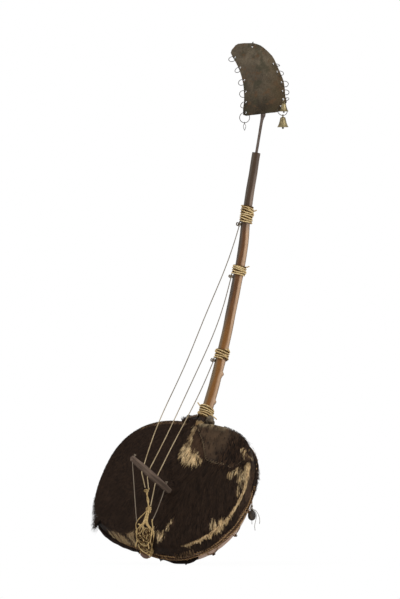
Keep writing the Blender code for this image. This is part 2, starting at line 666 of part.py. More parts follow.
hung = {}
for name, u, w, radius, way, tilt in RINGS:
    first, second = ring_axes(way, tilt)
    hole = on_plate(u, w)
    centre = hole + first * radius
    ring_node(name, hole, centre, first, second, radius, 20 if radius > 0.01 else 16)
    hung[name] = lowest(centre, first, second, radius)
u, w, radius, way, tilt = LOW_RING
first, second = ring_axes(way, tilt)
hole = on_plate(u, w)
ring_node("bell_ring_low", hole, hole + first * radius, first, second, radius, 20)
hung["bell_low"] = lowest(hole + first * radius, first, second, radius)
u, w, radius, way, chord, tilt = HIGH_RING
first, second = ring_axes(way, tilt)
hole = on_plate(u, w)
centre = hole + first * (chord / 2) + second * sqrt(radius ** 2 - chord ** 2 / 4)
ring_node("bell_ring_high", hole, centre, first, second, radius)
hung["bell_high"] = lowest(centre, first, second, radius)


def plumb_turn(level):
    """The frame of a piece that hangs plumb from a wire running along level."""
    up = -DOWN
    return Matrix((level, up.cross(level), up)).transposed()


# Long wire link on the lower left ring
pivot, level = hung["link_ring"]
top_y = LINK_WIRE + RING_WIRE + 0.0003
link = []
for k in range(24):
    t = 2 * pi * k / 24
    half = LINK_WIDE / 2 * (1 if sin(t) > 0 else 0.75)
    link.append(Vector((0, half * cos(t), top_y - LINK_LONG / 2 + LINK_LONG / 2 * sin(t))))
node("drop_link", *sweep(link, LINK_WIRE, 6, closed=True), WIRE, pivot, plumb_turn(level), inside=False)

# Bells with their loops, and the clappers in them
for name, other in (("bell_low", "clapper_low"), ("bell_high", "clapper_high")):
    pivot, level = hung[name]
    turn = plumb_turn(level)
    size = HIGH_BELL_SIZE if name == "bell_high" else 1.0
    profile = [(r * size, -0.0040 - (z - 0.0040) * size) for r, z in BELL_OUT + BELL_IN]
    points, faces = lathe(profile, 14)
    bell = node(name, points, faces, BRASS, pivot, turn, inside=False)
    drop = BELL_LOOP_R - BELL_LOOP_WIRE - RING_WIRE - 0.0004
    ring = [Vector((0, BELL_LOOP_R * cos(2 * pi * k / 14), -drop + BELL_LOOP_R * sin(2 * pi * k / 14)))
            for k in range(14)]
    loop = cutter(f"{name}_loop", *sweep(ring, BELL_LOOP_WIRE, 6, closed=True), pivot, turn)
    cut(bell, loop, "UNION")
    below, ball = (CLAPPER_DROP - CLAPPER_TOP) * size, CLAPPER_BALL * size
    profile = [(CLAPPER_ROD, 0.0), (CLAPPER_ROD, ball * 0.97 - below)]
    for k in range(1, 6):
        profile.append((ball * sin(pi * k / 6), ball * cos(pi * k / 6) - below))
    points, faces = lathe(profile, 10)
    hang = pivot + DOWN * (0.0040 + (CLAPPER_TOP - 0.0040) * size)
    node(other, points, faces, IRON, hang, turn, inside=False)

# Nut on a thread, hung from the hem at the right of the face
hook = bowl_point(radians(-2.4), BAND_DEPTH + HEM_R + 0.0006, 2 * HEM_R + 0.0040)
level = DOWN.cross(Vector((1, 0, 0))).normalized()
turn = plumb_turn(level)
top_len = PENDANT_DROP - PENDANT_HALF - 0.0004
node("pendant_cord", *sweep([Vector((0, 0, 0)), Vector((0.0004, 0, -top_len / 2)), Vector((0, 0, -top_len))],
                            0.0010, 6), THONG, hook, turn, inside=False)
profile = []
for k in range(1, 7):
    t = pi * k / 7
    profile.append((PENDANT_R * sin(t) * (1 - 0.09 * cos(t)), PENDANT_HALF * cos(t) - PENDANT_DROP))
node("pendant_bead", *lathe(profile, 14, Vector((0, 0, PENDANT_HALF - PENDANT_DROP)),
                            Vector((0, 0, -PENDANT_HALF - PENDANT_DROP))), NUT, hook, turn, inside=False)
low = -PENDANT_DROP - PENDANT_HALF - 0.0004
node("pendant_thread", *sweep([Vector((0, 0, low)), Vector((0.0006, 0.0004, low - PENDANT_THREAD * 0.5)),
                               Vector((-0.0004, 0, low - PENDANT_THREAD))], 0.0006, 5), THONG, hook, turn,
     inside=False)

# The instrument is held by the back of its neck just above the fixed winding: that point is the origin
grip, grip_way, grip_front = neck_at(length_at(0.290))
grip = grip - grip_front * neck_radius(length_at(0.290))
stance.matrix_world = Matrix.Translation(STAND @ -grip) @ STAND.to_4x4()
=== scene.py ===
from math import cos, exp, pi, radians, sin

import bmesh
import bpy
import numpy as np
from mathutils import Euler, Matrix, Vector


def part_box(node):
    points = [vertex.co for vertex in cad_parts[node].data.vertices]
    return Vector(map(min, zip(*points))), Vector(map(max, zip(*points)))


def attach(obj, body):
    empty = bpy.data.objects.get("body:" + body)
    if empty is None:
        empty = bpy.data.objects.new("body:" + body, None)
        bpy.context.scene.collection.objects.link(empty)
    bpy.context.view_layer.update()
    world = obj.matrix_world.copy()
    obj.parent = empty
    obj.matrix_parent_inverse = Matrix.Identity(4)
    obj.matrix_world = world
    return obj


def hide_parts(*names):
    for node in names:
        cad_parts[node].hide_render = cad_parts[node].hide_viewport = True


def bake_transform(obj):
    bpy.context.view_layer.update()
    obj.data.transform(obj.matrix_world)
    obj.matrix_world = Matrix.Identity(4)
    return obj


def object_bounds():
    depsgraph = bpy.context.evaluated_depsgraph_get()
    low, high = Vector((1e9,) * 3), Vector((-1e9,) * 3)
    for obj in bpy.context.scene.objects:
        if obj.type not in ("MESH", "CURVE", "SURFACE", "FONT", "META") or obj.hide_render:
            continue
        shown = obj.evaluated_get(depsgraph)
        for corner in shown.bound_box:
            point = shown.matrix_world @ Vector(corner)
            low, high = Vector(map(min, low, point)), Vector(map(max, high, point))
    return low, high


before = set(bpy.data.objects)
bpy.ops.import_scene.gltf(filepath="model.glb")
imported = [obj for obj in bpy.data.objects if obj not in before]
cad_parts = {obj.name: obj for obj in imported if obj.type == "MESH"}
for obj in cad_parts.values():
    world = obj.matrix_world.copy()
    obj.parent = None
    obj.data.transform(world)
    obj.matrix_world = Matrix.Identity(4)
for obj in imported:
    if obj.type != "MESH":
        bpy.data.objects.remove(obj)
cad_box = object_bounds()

# The stick that carries everything: one bent length of wood, run through the gourd from a short tail stub.
# The instrument is held by the back of this neck, leaning back, rolled and turned to show its face.
# Lengths run along the stick from its tail; x is across the face, y towards the back, z along the spike.
TAIL_Z, TAIL_DEPTH, NECK_LENGTH, NECK_STEP = -0.199, 0.0175, 1.070, 0.002
BEND_FROM, BEND_TO, BEND_FIRST, BEND_LAST = 0.194, 0.744, -2.0, 28.0
NECK_RADII = ((0.0, 0.20, 0.40, 0.50, 0.60, 0.72, 0.85, 0.90, 0.95, 1.070),
              (0.0105, 0.0122, 0.0134, 0.0129, 0.0125, 0.0121, 0.0118, 0.0108, 0.0104, 0.0101))
BOW, BOW_AT, BOW_COMES, BOW_GOES = 0.0060, 0.825, 0.160, 0.075


def bow(length):
    """How far the neck bends to the right of straight."""
    return BOW * exp(-((length - BOW_AT) / (BOW_COMES if length < BOW_AT else BOW_GOES)) ** 2)


axis_points, axis_ways = [Vector((0, TAIL_DEPTH, TAIL_Z))], []
for k in range(int(NECK_LENGTH / NECK_STEP) + 1):
    share = min(1, max(0, ((k + 0.5) * NECK_STEP - BEND_FROM) / (BEND_TO - BEND_FROM)))
    bend = radians(BEND_FIRST + (BEND_LAST - BEND_FIRST) * share * share * (3 - 2 * share))
    aside = (bow((k + 1) * NECK_STEP) - bow(k * NECK_STEP)) / NECK_STEP
    axis_ways.append(Vector((aside, -sin(bend), cos(bend))).normalized())
    axis_points.append(axis_points[-1] + axis_ways[-1] * NECK_STEP)


def neck_at(length):
    """Centre, direction and front-facing normal of the neck at a length from its tail."""
    k = min(max(int(length / NECK_STEP), 0), len(axis_ways) - 1)
    way = axis_ways[k]
    return axis_points[k] + way * (length - k * NECK_STEP), way, Vector((0, -way.z, way.y)).normalized()


def neck_radius(length):
    return float(np.interp(length, *NECK_RADII))


def length_at(z):
    return NECK_STEP * min(range(len(axis_points)), key=lambda k: abs(axis_points[k].z - z))


GRIP = length_at(0.290)
LEAN, ROLL, TURN = radians(-36.8), radians(6.1), radians(-26.8)
grip, _, grip_front = neck_at(GRIP)
grip = grip - grip_front * neck_radius(GRIP)
STAND = Euler((LEAN, ROLL, TURN), "XYZ").to_matrix()
SHIFT = STAND @ -grip
DOWN = STAND.transposed() @ Vector((0, 0, -1))


def leant(points):
    """Points on the instrument, as it stands."""
    points = np.array([tuple(p) for p in points]) if isinstance(points, list) else points
    return points @ np.array(STAND).T + np.array(SHIFT)


# Camera: it looks level at the face from far off, framed as the picture is.
# The middle of the face lies at FACE_PIXEL, and a pixel there is PIXEL metres wide.
PIXEL, FACE_PIXEL, PICTURE_WIDE, PICTURE_HIGH = 0.002386, (171.3, 484.5), 400, 599
FAR, SENSOR = 30.0, 36.0
scene = bpy.context.scene
eye = bpy.data.objects.new("eye", bpy.data.cameras.new("eye"))
scene.collection.objects.link(eye)
eye.location = (SHIFT.x + (PICTURE_WIDE / 2 - FACE_PIXEL[0]) * PIXEL, SHIFT.y - FAR,
                SHIFT.z - (PICTURE_HIGH / 2 - FACE_PIXEL[1]) * PIXEL)
eye.rotation_euler = (radians(90), 0, 0)
eye.data.sensor_width = SENSOR
eye.data.lens = SENSOR * FAR / (PICTURE_HIGH * PIXEL)
eye.data.clip_end = 200.0
scene.camera = eye
scene.view_settings.view_transform = "Standard"

# Plain pale floor under the instrument, white room and soft studio lamps.
# The strongest lamp stands to the right of the face, as the shine on the neck and bells shows.


class Finish:
    """A socket of a material that sums and products are written with. With no socket, it is the material itself."""

    def __init__(self, tree, socket=None):
        self.tree, self.socket = tree, socket

    def node(self, kind, settings=None, out=0, **values):
        """A node of that kind: its settings first, then what its sockets hold or are linked to."""
        made = self.tree.nodes.new("ShaderNode" + kind)
        for key, value in (settings or {}).items():
            setattr(made, key, value)
        for key, value in values.items():
            socket = made.inputs[int(key[1:])] if key[1:].isdigit() else made.inputs[key.replace("_", " ")]
            self.feed(socket, value)
        return Finish(self.tree, made.outputs[out])

    def feed(self, socket, value):
        if isinstance(value, Finish):
            self.tree.links.new(value.socket, socket)
        else:
            socket.default_value = value

    def maths(self, operation, a, b):
        return self.node("Math", {"operation": operation}, _0=a, _1=b)

    def __add__(self, other):
        return self.maths("ADD", self, other)

    def __sub__(self, other):
        return self.maths("SUBTRACT", self, other)

    def __rsub__(self, other):
        return self.maths("SUBTRACT", other, self)

    def __mul__(self, other):
        return self.maths("MULTIPLY", self, other)

    __radd__, __rmul__ = __add__, __mul__

    def mix(self, share, first, second):
        """Two colours mixed by a share."""
        first, second = ((*c, 1) if isinstance(c, tuple) and len(c) == 3 else c for c in (first, second))
        return self.node("Mix", {"data_type": "RGBA"}, 2, _0=share, _6=first, _7=second)

    def between(self, value, low, high):
        """Where a value lies from low to high, eased and kept from 0 to 1."""
        return self.node("MapRange", {"interpolation_type": "SMOOTHSTEP"}, Value=value, From_Min=low, From_Max=high)

    def grain(self, stretch, scale, detail=4.0, rough=0.6, at=None):
        """Noise over a piece's own grain, or another place, drawn out by the three stretches."""
        at = at or self.kept("grain", "Vector")
        drawn = self.node("VectorMath", {"operation": "MULTIPLY"}, _0=at, _1=stretch)
        return self.node("TexNoise", None, "Fac", Vector=drawn, Scale=scale, Detail=detail, Roughness=rough)

    def kept(self, name, out="Fac"):
        """A value that is kept at each point of the piece."""
        return self.node("Attribute", {"attribute_name": name}, out)

    def spots(self, scale, detail=4.0, rough=0.55):
        """Noise through the body of a piece."""
        at = self.node("TexCoord", None, "Object")
        return self.node("TexNoise", None, "Fac", Vector=at, Scale=scale, Detail=detail, Roughness=rough)

    def blots(self, low, high, *noise):
        """That noise as blots, from none at low to full at high."""
        return self.between(self.spots(*noise), low, high)


FLOOR_GAP, FLOOR_HALF = 0.004, 6.0
floor_mesh = bpy.data.meshes.new("floor")
floor_z = cad_box[0].z - FLOOR_GAP
floor_mesh.from_pydata([(x * FLOOR_HALF, y * FLOOR_HALF, floor_z) for x, y in ((-1, -1), (1, -1), (1, 1), (-1, 1))],
                       [], [(0, 1, 2, 3)])
floor = bpy.data.objects.new("floor", floor_mesh)
scene.collection.objects.link(floor)
paint = bpy.data.materials.new("floor_paint")
paint.use_nodes = True
pale = Finish(paint.node_tree)
seen = pale.node("LightPath", None, "Is Camera Ray") + pale.node("LightPath", None, "Is Glossy Ray")
matt = pale.node("BsdfDiffuse", Color=(0.86, 0.86, 0.85, 1))
white = pale.node("Emission", Color=(1, 1, 1, 1), Strength=1.0)
reach = pale.node("VectorMath", {"operation": "LENGTH"}, "Value", _0=pale.node("TexCoord", None, "Object"))
far_off = 0.90 + 0.10 * pale.between(reach, 0.10, 0.62)
pale.feed(paint.node_tree.nodes["Material Output"].inputs["Surface"],
          pale.node("MixShader", _0=pale.maths("MINIMUM", seen, 1.0) * far_off, _1=matt, _2=white))
floor_mesh.materials.append(paint)

room = bpy.data.worlds.new("room")
room.use_nodes = True
scene.world = room
air = Finish(room.node_tree)
path = [air.node("LightPath", None, f"Is {ray} Ray") for ray in ("Camera", "Glossy", "Transmission")]
plain = air.maths("MINIMUM", path[0] + path[1] + path[2], 1.0)
air.feed(room.node_tree.nodes["Background"].inputs["Color"], (1, 1, 1, 1))
air.feed(room.node_tree.nodes["Background"].inputs["Strength"], plain * 0.55 + 0.45)
LAMPS = (("lamp_right", (2.2, -2.4, 1.9), 1.6, 62.0), ("lamp_left", (-2.6, -2.0, 1.2), 2.2, 26.0),
         ("lamp_back", (-0.6, 2.6, 2.2), 2.0, 30.0))
LAMPS_AIM = Vector((0, 0, 0.1))
for name, place, size, power in LAMPS:
    lamp = bpy.data.objects.new(name, bpy.data.lights.new(name, "AREA"))
    scene.collection.objects.link(lamp)
    lamp.data.shape, lamp.data.size, lamp.data.energy = "DISK", size, power
    lamp.location = place
    lamp.rotation_euler = (LAMPS_AIM - Vector(place)).to_track_quat("-Z", "Y").to_euler()

# Half gourd: a dried calabash cut across, about 6 mm thick, its wall closing to a rounded base behind.
# Its skin is hard and pinkish tan, mottled darker, with fine scratches from handling.
RIM_R, RIM_CENTRE, RIM_TUCK = 0.1902, (0.0013, 0.0073), 0.012
RIM_WAVES = ((2, 0.0068, -25), (3, 0.0023, 162), (4, 0.0081, 167), (5, 0.0021, -27), (6, 0.0011, -80))
SHELL_WALL, BELLY_DEPTH, BOWL_DEPTH = 0.006, 0.040, 0.155
GOURD_AROUND, GOURD_ROWS, GOURD_WOBBLE = 120, 33, 0.0006


def finish(name, colour, rough, relief=None, metal=0.0, gloss=0.5, depth=0.0005):
    """A material. Colour, rough and relief are functions of it. Rough may also be a number, or its least,
    its reach and its noise; relief may be its noise alone."""
    made = bpy.data.materials.new(name)
    made.use_nodes = True
    look = Finish(made.node_tree)
    shader = made.node_tree.nodes["Principled BSDF"]
    if isinstance(rough, tuple):
        rough = rough[0] + rough[1] * look.spots(*rough[2:])
    elif callable(rough):
        rough = rough(look)
    for socket, value in (("Base Color", colour(look)), ("Roughness", rough), ("Metallic", metal),
                          ("Specular IOR Level", gloss)):
        look.feed(shader.inputs[socket], value)
    if relief:
        high = look.spots(*relief) if isinstance(relief, tuple) else relief(look)
        bump = look.node("Bump", None, "Normal", Strength=1.0, Distance=depth, Height=high)
        look.feed(shader.inputs["Normal"], bump)
    return made


def piece(name, points, faces, look, body="instrument", stands_for=(), slot=None, smooth=True, closed=True, **fields):
    """A piece of the instrument from its points and faces. Fields are values kept at each point for its finish."""
    mesh = bpy.data.meshes.new(name)
    mesh.from_pydata(leant(points).tolist(), [], faces)
    if closed:
        work = bmesh.new()
        work.from_mesh(mesh)
        bmesh.ops.recalc_face_normals(work, faces=work.faces)
        work.to_mesh(mesh)
        work.free()
    mesh.polygons.foreach_set("use_smooth", [smooth] * len(mesh.polygons))
    for field, values in fields.items():
        values = np.asarray(values, np.float32)
        kind, key = ("FLOAT_VECTOR", "vector") if values.ndim == 2 else ("FLOAT", "value")
        mesh.attributes.new(field, kind, "POINT").data.foreach_set(key, values.ravel())
    mesh.materials.append(look)
    made = bpy.data.objects.new(name, mesh)
    scene.collection.objects.link(made)
    if body:
        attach(made, body)
    if stands_for:
        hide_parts(*stands_for)
    return made


def quilt(rows, around, base=0, flip=False):
    """Faces of a skin through rows of points that close round on themselves."""
    faces = []
    for a in range(base, base + (rows - 1) * around, around):
        b = a + around
        for i in range(around):
            j = (i + 1) % around
            faces.append((a + i, a + j, b + j, b + i) if flip else (a + i, b + i, b + j, a + j))
    return faces


def closed_skin(rows, around):
    """Such a skin, drawn together at each end on a point of its own."""
    faces, last, end = quilt(rows, around), (rows - 1) * around, rows * around
    for i in range(around):
        j = (i + 1) % around
        faces += [(i, j, end), (last + j, last + i, end + 1)]
    return faces


def plan(angle):
    """The rim's radius round the face."""
    return RIM_R + sum(high * np.cos(count * angle - radians(phase)) for count, high, phase in RIM_WAVES)


def narrowing(depth):
    below = np.clip((depth - BELLY_DEPTH) / (BOWL_DEPTH - BELLY_DEPTH), 0, 1)
    above = np.clip((BELLY_DEPTH - depth) / BELLY_DEPTH, 0, None)
    return np.sqrt(1 - below ** 2) - RIM_TUCK * above ** 2


def about_face(r, angle, y):
    """Points at a radius and an angle round the middle of the face, and a depth behind it."""
    return np.stack([RIM_CENTRE[0] + r * np.cos(angle), y, RIM_CENTRE[1] + r * np.sin(angle)], -1)


def bowl_point(angle, depth, out=0.0):
    """Points on the bowl's outer skin, moved off it by out."""
    angle, depth = np.asarray(angle, float), np.asarray(depth, float)
    step = 0.0005
    low = np.minimum(depth + step, BOWL_DEPTH - 1e-5)
    slope = plan(angle) * (narrowing(low) - narrowing(depth - step)) / (low - depth + step)
    size = np.hypot(1, slope)
    r = plan(angle) * narrowing(depth) + out / size
    return about_face(r, angle, depth - out * slope / size)


turn = np.arange(GOURD_AROUND) * 2 * pi / GOURD_AROUND
depths = BOWL_DEPTH * np.sin(np.linspace(0, pi / 2, GOURD_ROWS + 1))[:-1]
outer = [bowl_point(turn, np.full(GOURD_AROUND, d), GOURD_WOBBLE * np.sin(3 * turn + 40 * d)) for d in depths]
inner = [bowl_point(turn, np.full(GOURD_AROUND, d), -SHELL_WALL) for d in depths[:-1:3]]
inner[0][:, 1], outer[0][:, 1] = 0.0, 0.0
base_point = np.array([RIM_CENTRE[0], BOWL_DEPTH, RIM_CENTRE[1]])
points = np.concatenate(outer[::-1] + inner + [[base_point], [base_point - (0, SHELL_WALL, 0)]])
faces = closed_skin(len(outer) + len(inner), GOURD_AROUND)


def gourd_colour(look):
    mottle = look.blots(0.36, 0.66, 16, 5)
    streak = look.blots(0.5, 0.72, 70, 6, 0.7)
    tan = look.mix(mottle, (0.47, 0.290, 0.180), (0.33, 0.178, 0.100))
    return look.mix(streak * 0.55, tan, (0.15, 0.078, 0.046))


gourd_skin = finish("gourd_skin", gourd_colour, (0.34, 0.3, 60, 4), (130, 5), gloss=0.45, depth=0.0006)
piece("gourd", points, faces, gourd_skin, stands_for=["gourd_shell"], slot="gourd")

# Neck wood: a peeled branch with a little wobble, worn to a red-tan shine by the hand between the windings.
# Above the top winding it is dark with age; two cut twig stubs stand out on its right side near the foot.
# Light is painted across the stick: shade on its left, a pale sheen on its right and a shaded strip at its far right
# edge.
NECK_SIDES, NECK_ROWS = 28, 260
TWIGS, TWIG_LONG, TWIG_WIDE = ((0.527, 0.0060), (0.456, 0.0050)), 0.0046, 0.30
points, grain = [], []
for k in range(NECK_ROWS + 1):
    length = NECK_LENGTH * k / NECK_ROWS
    centre, way, front = neck_at(length)
    for i in range(NECK_SIDES):
        t = 2 * pi * i / NECK_SIDES
        r = neck_radius(length)
        whittled = 0.00034 * sin(3 * t + 5 * sin(6.0 * length)) + 0.00026 * sin(5 * t + 21 * length)
        knots = 0.00030 * sin(31 * length + 2 * cos(t)) + 0.00022 * sin(83 * length + 3 * t)
        r += min(whittled + knots, 0.0003)
        for at, high in TWIGS:
            r += high * exp(-((length - at) / TWIG_LONG) ** 4 - (min(t, 2 * pi - t) / TWIG_WIDE) ** 4)
        points.append(centre + (Vector((1, 0, 0)) * cos(t) + front * sin(t)) * r)
        grain.append((cos(t), sin(t), length))


def tube(rows, around, base=0):
    """Faces of a tube through rows of points, with flat ends."""
    last = base + (rows - 1) * around
    ends = [tuple(range(base, base + around))[::-1], tuple(range(last, last + around))]
    return quilt(rows, around, base, flip=True) + ends


FOOT_DARK = [length_at(z) for z in (0.150, 0.190, 0.204, 0.219)]


def wood_colour(look):
    across, front, length = (look.node("SeparateXYZ", None, way, Vector=look.kept("grain", "Vector")) for way in "XYZ")
    fine = look.grain((9, 9, 12), 3.0, 5, 0.7)
    patchy = look.grain((0.4, 0.4, 5), 2.0, 4)
    # painted light across the stick: from its shaded left, -1, to its lit right, 1
    shade_to_lit = 0.946 * across - 0.324 * front
    rubbed = shade_to_lit + 0.9 * patchy - 0.45
    aged = look.between(length, 0.868, 0.905)
    figure = look.between(look.grain((1.6, 1.6, 9.0), 2.2, 6, 0.65), 0.35, 0.66)
    heart = look.mix(figure, (0.155, 0.066, 0.022), (0.085, 0.035, 0.013))
    handled = look.between(length, length_at(0.49), length_at(0.40))
    heart = look.mix(handled, heart, look.mix(fine, (0.255, 0.110, 0.026), (0.150, 0.060, 0.014)))
    heart = look.mix(aged, heart, (0.060, 0.036, 0.021))
    # the painted sheen, greyer and darker on the aged top of the neck
    aged_sheen = look.mix(look.between(length, 0.92, NECK_LENGTH), (0.27, 0.20, 0.155), (0.100, 0.074, 0.060))
    wear_and_sheen = look.mix(aged, look.mix(fine, (0.40, 0.235, 0.130), (0.62, 0.43, 0.29)), aged_sheen)
    shaded_side = look.mix(handled, (0.110, 0.086, 0.066), (0.210, 0.148, 0.088))
    # painted shade over the left of the stick, grey like a reflection of the white room
    wood = look.mix(look.between(0 - rubbed, 0.10, 0.72), heart, shaded_side)
    # a painted pale sheen over the right of the stick, in patches
    wood = look.mix(look.between(rubbed, 0.26, 0.66), wood, wear_and_sheen)
    # painted shade in a thin strip along the far right edge
    wood = look.mix(look.between(shade_to_lit, 0.84, 1.0) * 0.75, wood, (0.17, 0.11, 0.07))
    wood = look.mix(look.between(fine, 0.56, 0.80) * 0.6, wood, (0.045, 0.022, 0.012))
    # the foot of the neck is darkened almost to black, from under the hide up to the base winding
    foot = look.between(length, FOOT_DARK[0], FOOT_DARK[1]) * look.between(length, FOOT_DARK[3], FOOT_DARK[2])
    wood = look.mix(foot * 0.95, wood, (0.016, 0.010, 0.007))
    stub = look.mix(fine, (0.20, 0.11, 0.075), (0.09, 0.05, 0.036))
    return look.mix(look.between(length, 0.055, 0.035), wood, stub)


neck_wood = finish("neck_wood", wood_colour, lambda look: 0.42 + 0.3 * look.grain((9, 9, 12), 3.0, 4),
                   lambda look: look.grain((9, 9, 7), 3.0, 6, 0.65), gloss=0.16, depth=0.0007)
piece("neck_stick", points, tube(NECK_ROWS + 1, NECK_SIDES), neck_wood, stands_for=["neck"], slot="neck_wood",
      grain=grain)

# Hide head: a dark hair-on skin soaked, drawn over the bowl and dried there, its edge turned down the side.
# It is worn pale along the lower right of the rim and tucked up in shallow scallops where it is laced.
HIDE_TOP, HIDE_OUT, HIDE_THICK, RIM_ROLL = -0.0029, 0.0029, 0.0022, 0.0050
HIDE_AROUND, HIDE_BAND_ROWS, FACE_STOP = 160, 34, 0.007
BAND_LONG, SCALLOPS, SCALLOP_HIGH = 0.0355, 16, 0.0016
FOLD_TURN = (-1.20, -0.50, 0.05, 0.28, 0.45, 0.55, 0.68)
FOLD_PAST = (0.0020, 0.0022, 0.0012, 0.0004, -0.0030, -0.0060, -0.0130)
FOLD_WIDE = (0.0026, 0.0036, 0.0034, 0.0046, 0.0054, 0.0050, 0.0030)
FOLD_HIGH = 0.0022


def face_radius(angle):
    return plan(angle) * (1 - RIM_TUCK) + HIDE_OUT


def band_end(angle):
    """How far past the rim the hide's lower edge lies, in scallops."""
    return BAND_LONG + SCALLOP_HIGH * np.cos(SCALLOPS * angle) + 0.0010 * np.sin(7 * angle + 1)


def bare_hide(angle, past):
    """The hide without its waves, at an angle round the face and a distance past the rim (inside it: negative)."""
    rim = face_radius(angle)
    bend = np.clip((past + RIM_ROLL) / RIM_ROLL, 0, pi / 2)
    depth = HIDE_TOP + RIM_ROLL + np.maximum(past + RIM_ROLL - RIM_ROLL * pi / 2, 0)
    r = np.where(past <= -RIM_ROLL, rim + past, rim - RIM_ROLL + RIM_ROLL * np.sin(bend))
    r = np.where(bend >= pi / 2, plan(angle) * narrowing(depth) + HIDE_OUT, r)
    y = np.where(bend >= pi / 2, depth, HIDE_TOP + RIM_ROLL * (1 - np.cos(bend)))
    return about_face(r, angle, y)


def unit(ways):
    """Directions brought to length 1."""
    return ways / np.maximum(np.linalg.norm(ways, axis=-1, keepdims=True), 1e-12)


def normal_of(skin, angle, past):
    step = 0.0006
    around = skin(angle + step / 0.18, past) - skin(angle - step / 0.18, past)
    outward = skin(angle, past + step) - skin(angle, past - step)
    return unit(np.cross(outward, around))


def wrapped(angle):
    return (angle + pi) % (2 * pi) - pi


def fold_at(angle, past):
    """How near a place is to the worn fold along the lower right of the rim, from 0 to 1."""
    turned = wrapped(angle)
    along = np.clip((turned + 1.16) / 0.22, 0, 1) * np.clip((0.68 - turned) / 0.10, 0, 1)
    uneven = 1 + 0.18 * np.sin(37 * turned) + 0.14 * np.sin(71 * turned + 2)
    off = past - np.interp(turned, FOLD_TURN, FOLD_PAST) - 0.0008 * np.sin(11 * turned + 1)
    return along * np.exp(-(off / (np.interp(turned, FOLD_TURN, FOLD_WIDE) * uneven)) ** 4)


def hide_at(angle, past):
    """The hide with its slow waves, folds towards the lacing and the worn ridge at the lower right."""
    angle, past = np.broadcast_arrays(np.asarray(angle, float), np.asarray(past, float))
    near = np.exp(-(past / 0.020) ** 2)
    r = face_radius(angle) + past
    x, z = r * np.cos(angle), r * np.sin(angle)
    wave = 0.0007 * np.sin(31 * x + 17 * z) * np.sin(23 * z - 11 * x + 1)
    folds = 0.0009 * np.clip(past / 0.032, 0, 1) * np.cos(SCALLOPS * angle + 0.6)
    ridge = FOLD_HIGH * fold_at(angle, past)
    high = wave * (1 - near) + folds + ridge
    return bare_hide(angle, past) + normal_of(bare_hide, angle, past) * high[..., None]


turn = wrapped(np.arange(HIDE_AROUND) * 2 * pi / HIDE_AROUND)
shares = np.concatenate([np.linspace(0.04, 0.90, 24), [0.93, 0.955]])
pasts = [face_radius(turn) * (share - 1) for share in shares]
pasts += [-FACE_STOP + (band_end(turn) + FACE_STOP) * share for share in np.linspace(0, 1, HIDE_BAND_ROWS)]
top = [hide_at(turn, past) for past in pasts]
under = [row - normal_of(bare_hide, turn, past) * HIDE_THICK for row, past in zip(top, pasts)]
middle = np.array([RIM_CENTRE[0], HIDE_TOP, RIM_CENTRE[1]])
hide_points = np.concatenate(top + under[::-1] + [[middle], [middle + (0, HIDE_THICK, 0)]])
faces = closed_skin(2 * len(top), HIDE_AROUND)


def blot(x, z, cx, cz, wide, long, lean_deg=0.0):
    """A soft round patch on the face, 1 at its middle."""
    c, s = cos(radians(lean_deg)), sin(radians(lean_deg))
    u, v = ((x - cx) * c + (z - cz) * s) / wide, ((z - cz) * c - (x - cx) * s) / long
    return np.exp(-(u * u + v * v) ** 2)


def ripple(x, z, seed, step):
    """Smooth uneven values from -1 to 1 over the face, with waves about step apart."""
    draws = np.random.default_rng(seed)
    total = np.zeros(np.shape(x))
    for _ in range(7):
        way, phase = draws.uniform(0, 2 * pi), draws.uniform(0, 2 * pi)
        pace = draws.uniform(0.6, 1.6) * 2 * pi / step
        total = total + np.sin((x * cos(way) + z * sin(way)) * pace + phase)
    return total / 3.2


# Where the coat is pale: middle across and along the face, half width, half length, lean, strength
PALE_SPOTS = (
    (0.011, 0.098, 0.018, 0.026, 8, 0.92), (0.027, 0.085, 0.019, 0.023, 12, 0.90),
    (0.044, 0.080, 0.011, 0.016, 14, 0.75), (0.000, 0.118, 0.010, 0.018, 0, 0.75),
    (0.160, 0.062, 0.014, 0.032, 18, 0.58), (0.176, 0.068, 0.011, 0.034, 8, 0.56),
    (0.142, 0.056, 0.011, 0.016, 14, 0.56), (0.178, 0.020, 0.009, 0.030, 6, 0.50),
    (0.150, -0.092, 0.010, 0.021, 30, 0.75), (0.166, -0.084, 0.008, 0.020, 24, 0.8),
    (0.174, -0.098, 0.010, 0.016, 30, 0.8), (0.021, -0.135, 0.009, 0.026, 45, 0.62),
    (0.040, -0.106, 0.005, 0.019, -10, 0.62), (0.034, -0.138, 0.006, 0.013, 14, 0.78),
)
# Where it is tan: the streak under the neck's foot, and the side by the tail
TAN_SPOTS = ((-0.001, 0.158, 0.008, 0.026, 4, 0.8), (0.004, 0.134, 0.008, 0.018, 4, 0.7),
             (-0.085, -0.172, 0.048, 0.017, -19, 0.95), (-0.047, -0.166, 0.013, 0.024, 0, 0.85))
# Where the dark coat is faded to brown: by the patch's seam
BROWN_SPOTS = ((0.030, 0.124, 0.028, 0.040, 10, 1.0),)


def most(spots, x, z):
    """How far a place on the face lies in any of the spots."""
    found = np.zeros(np.shape(x))
    for cx, cz, wide, long, lean_deg, strong in spots:
        found = np.maximum(found, strong * blot(x, z, cx, cz, wide, long, lean_deg))
    return found


def face_place(angle, past):
    """How far across and along the face a place lies."""
    r = face_radius(angle) + past
    return RIM_CENTRE[0] + r * np.cos(angle), RIM_CENTRE[1] + r * np.sin(angle)


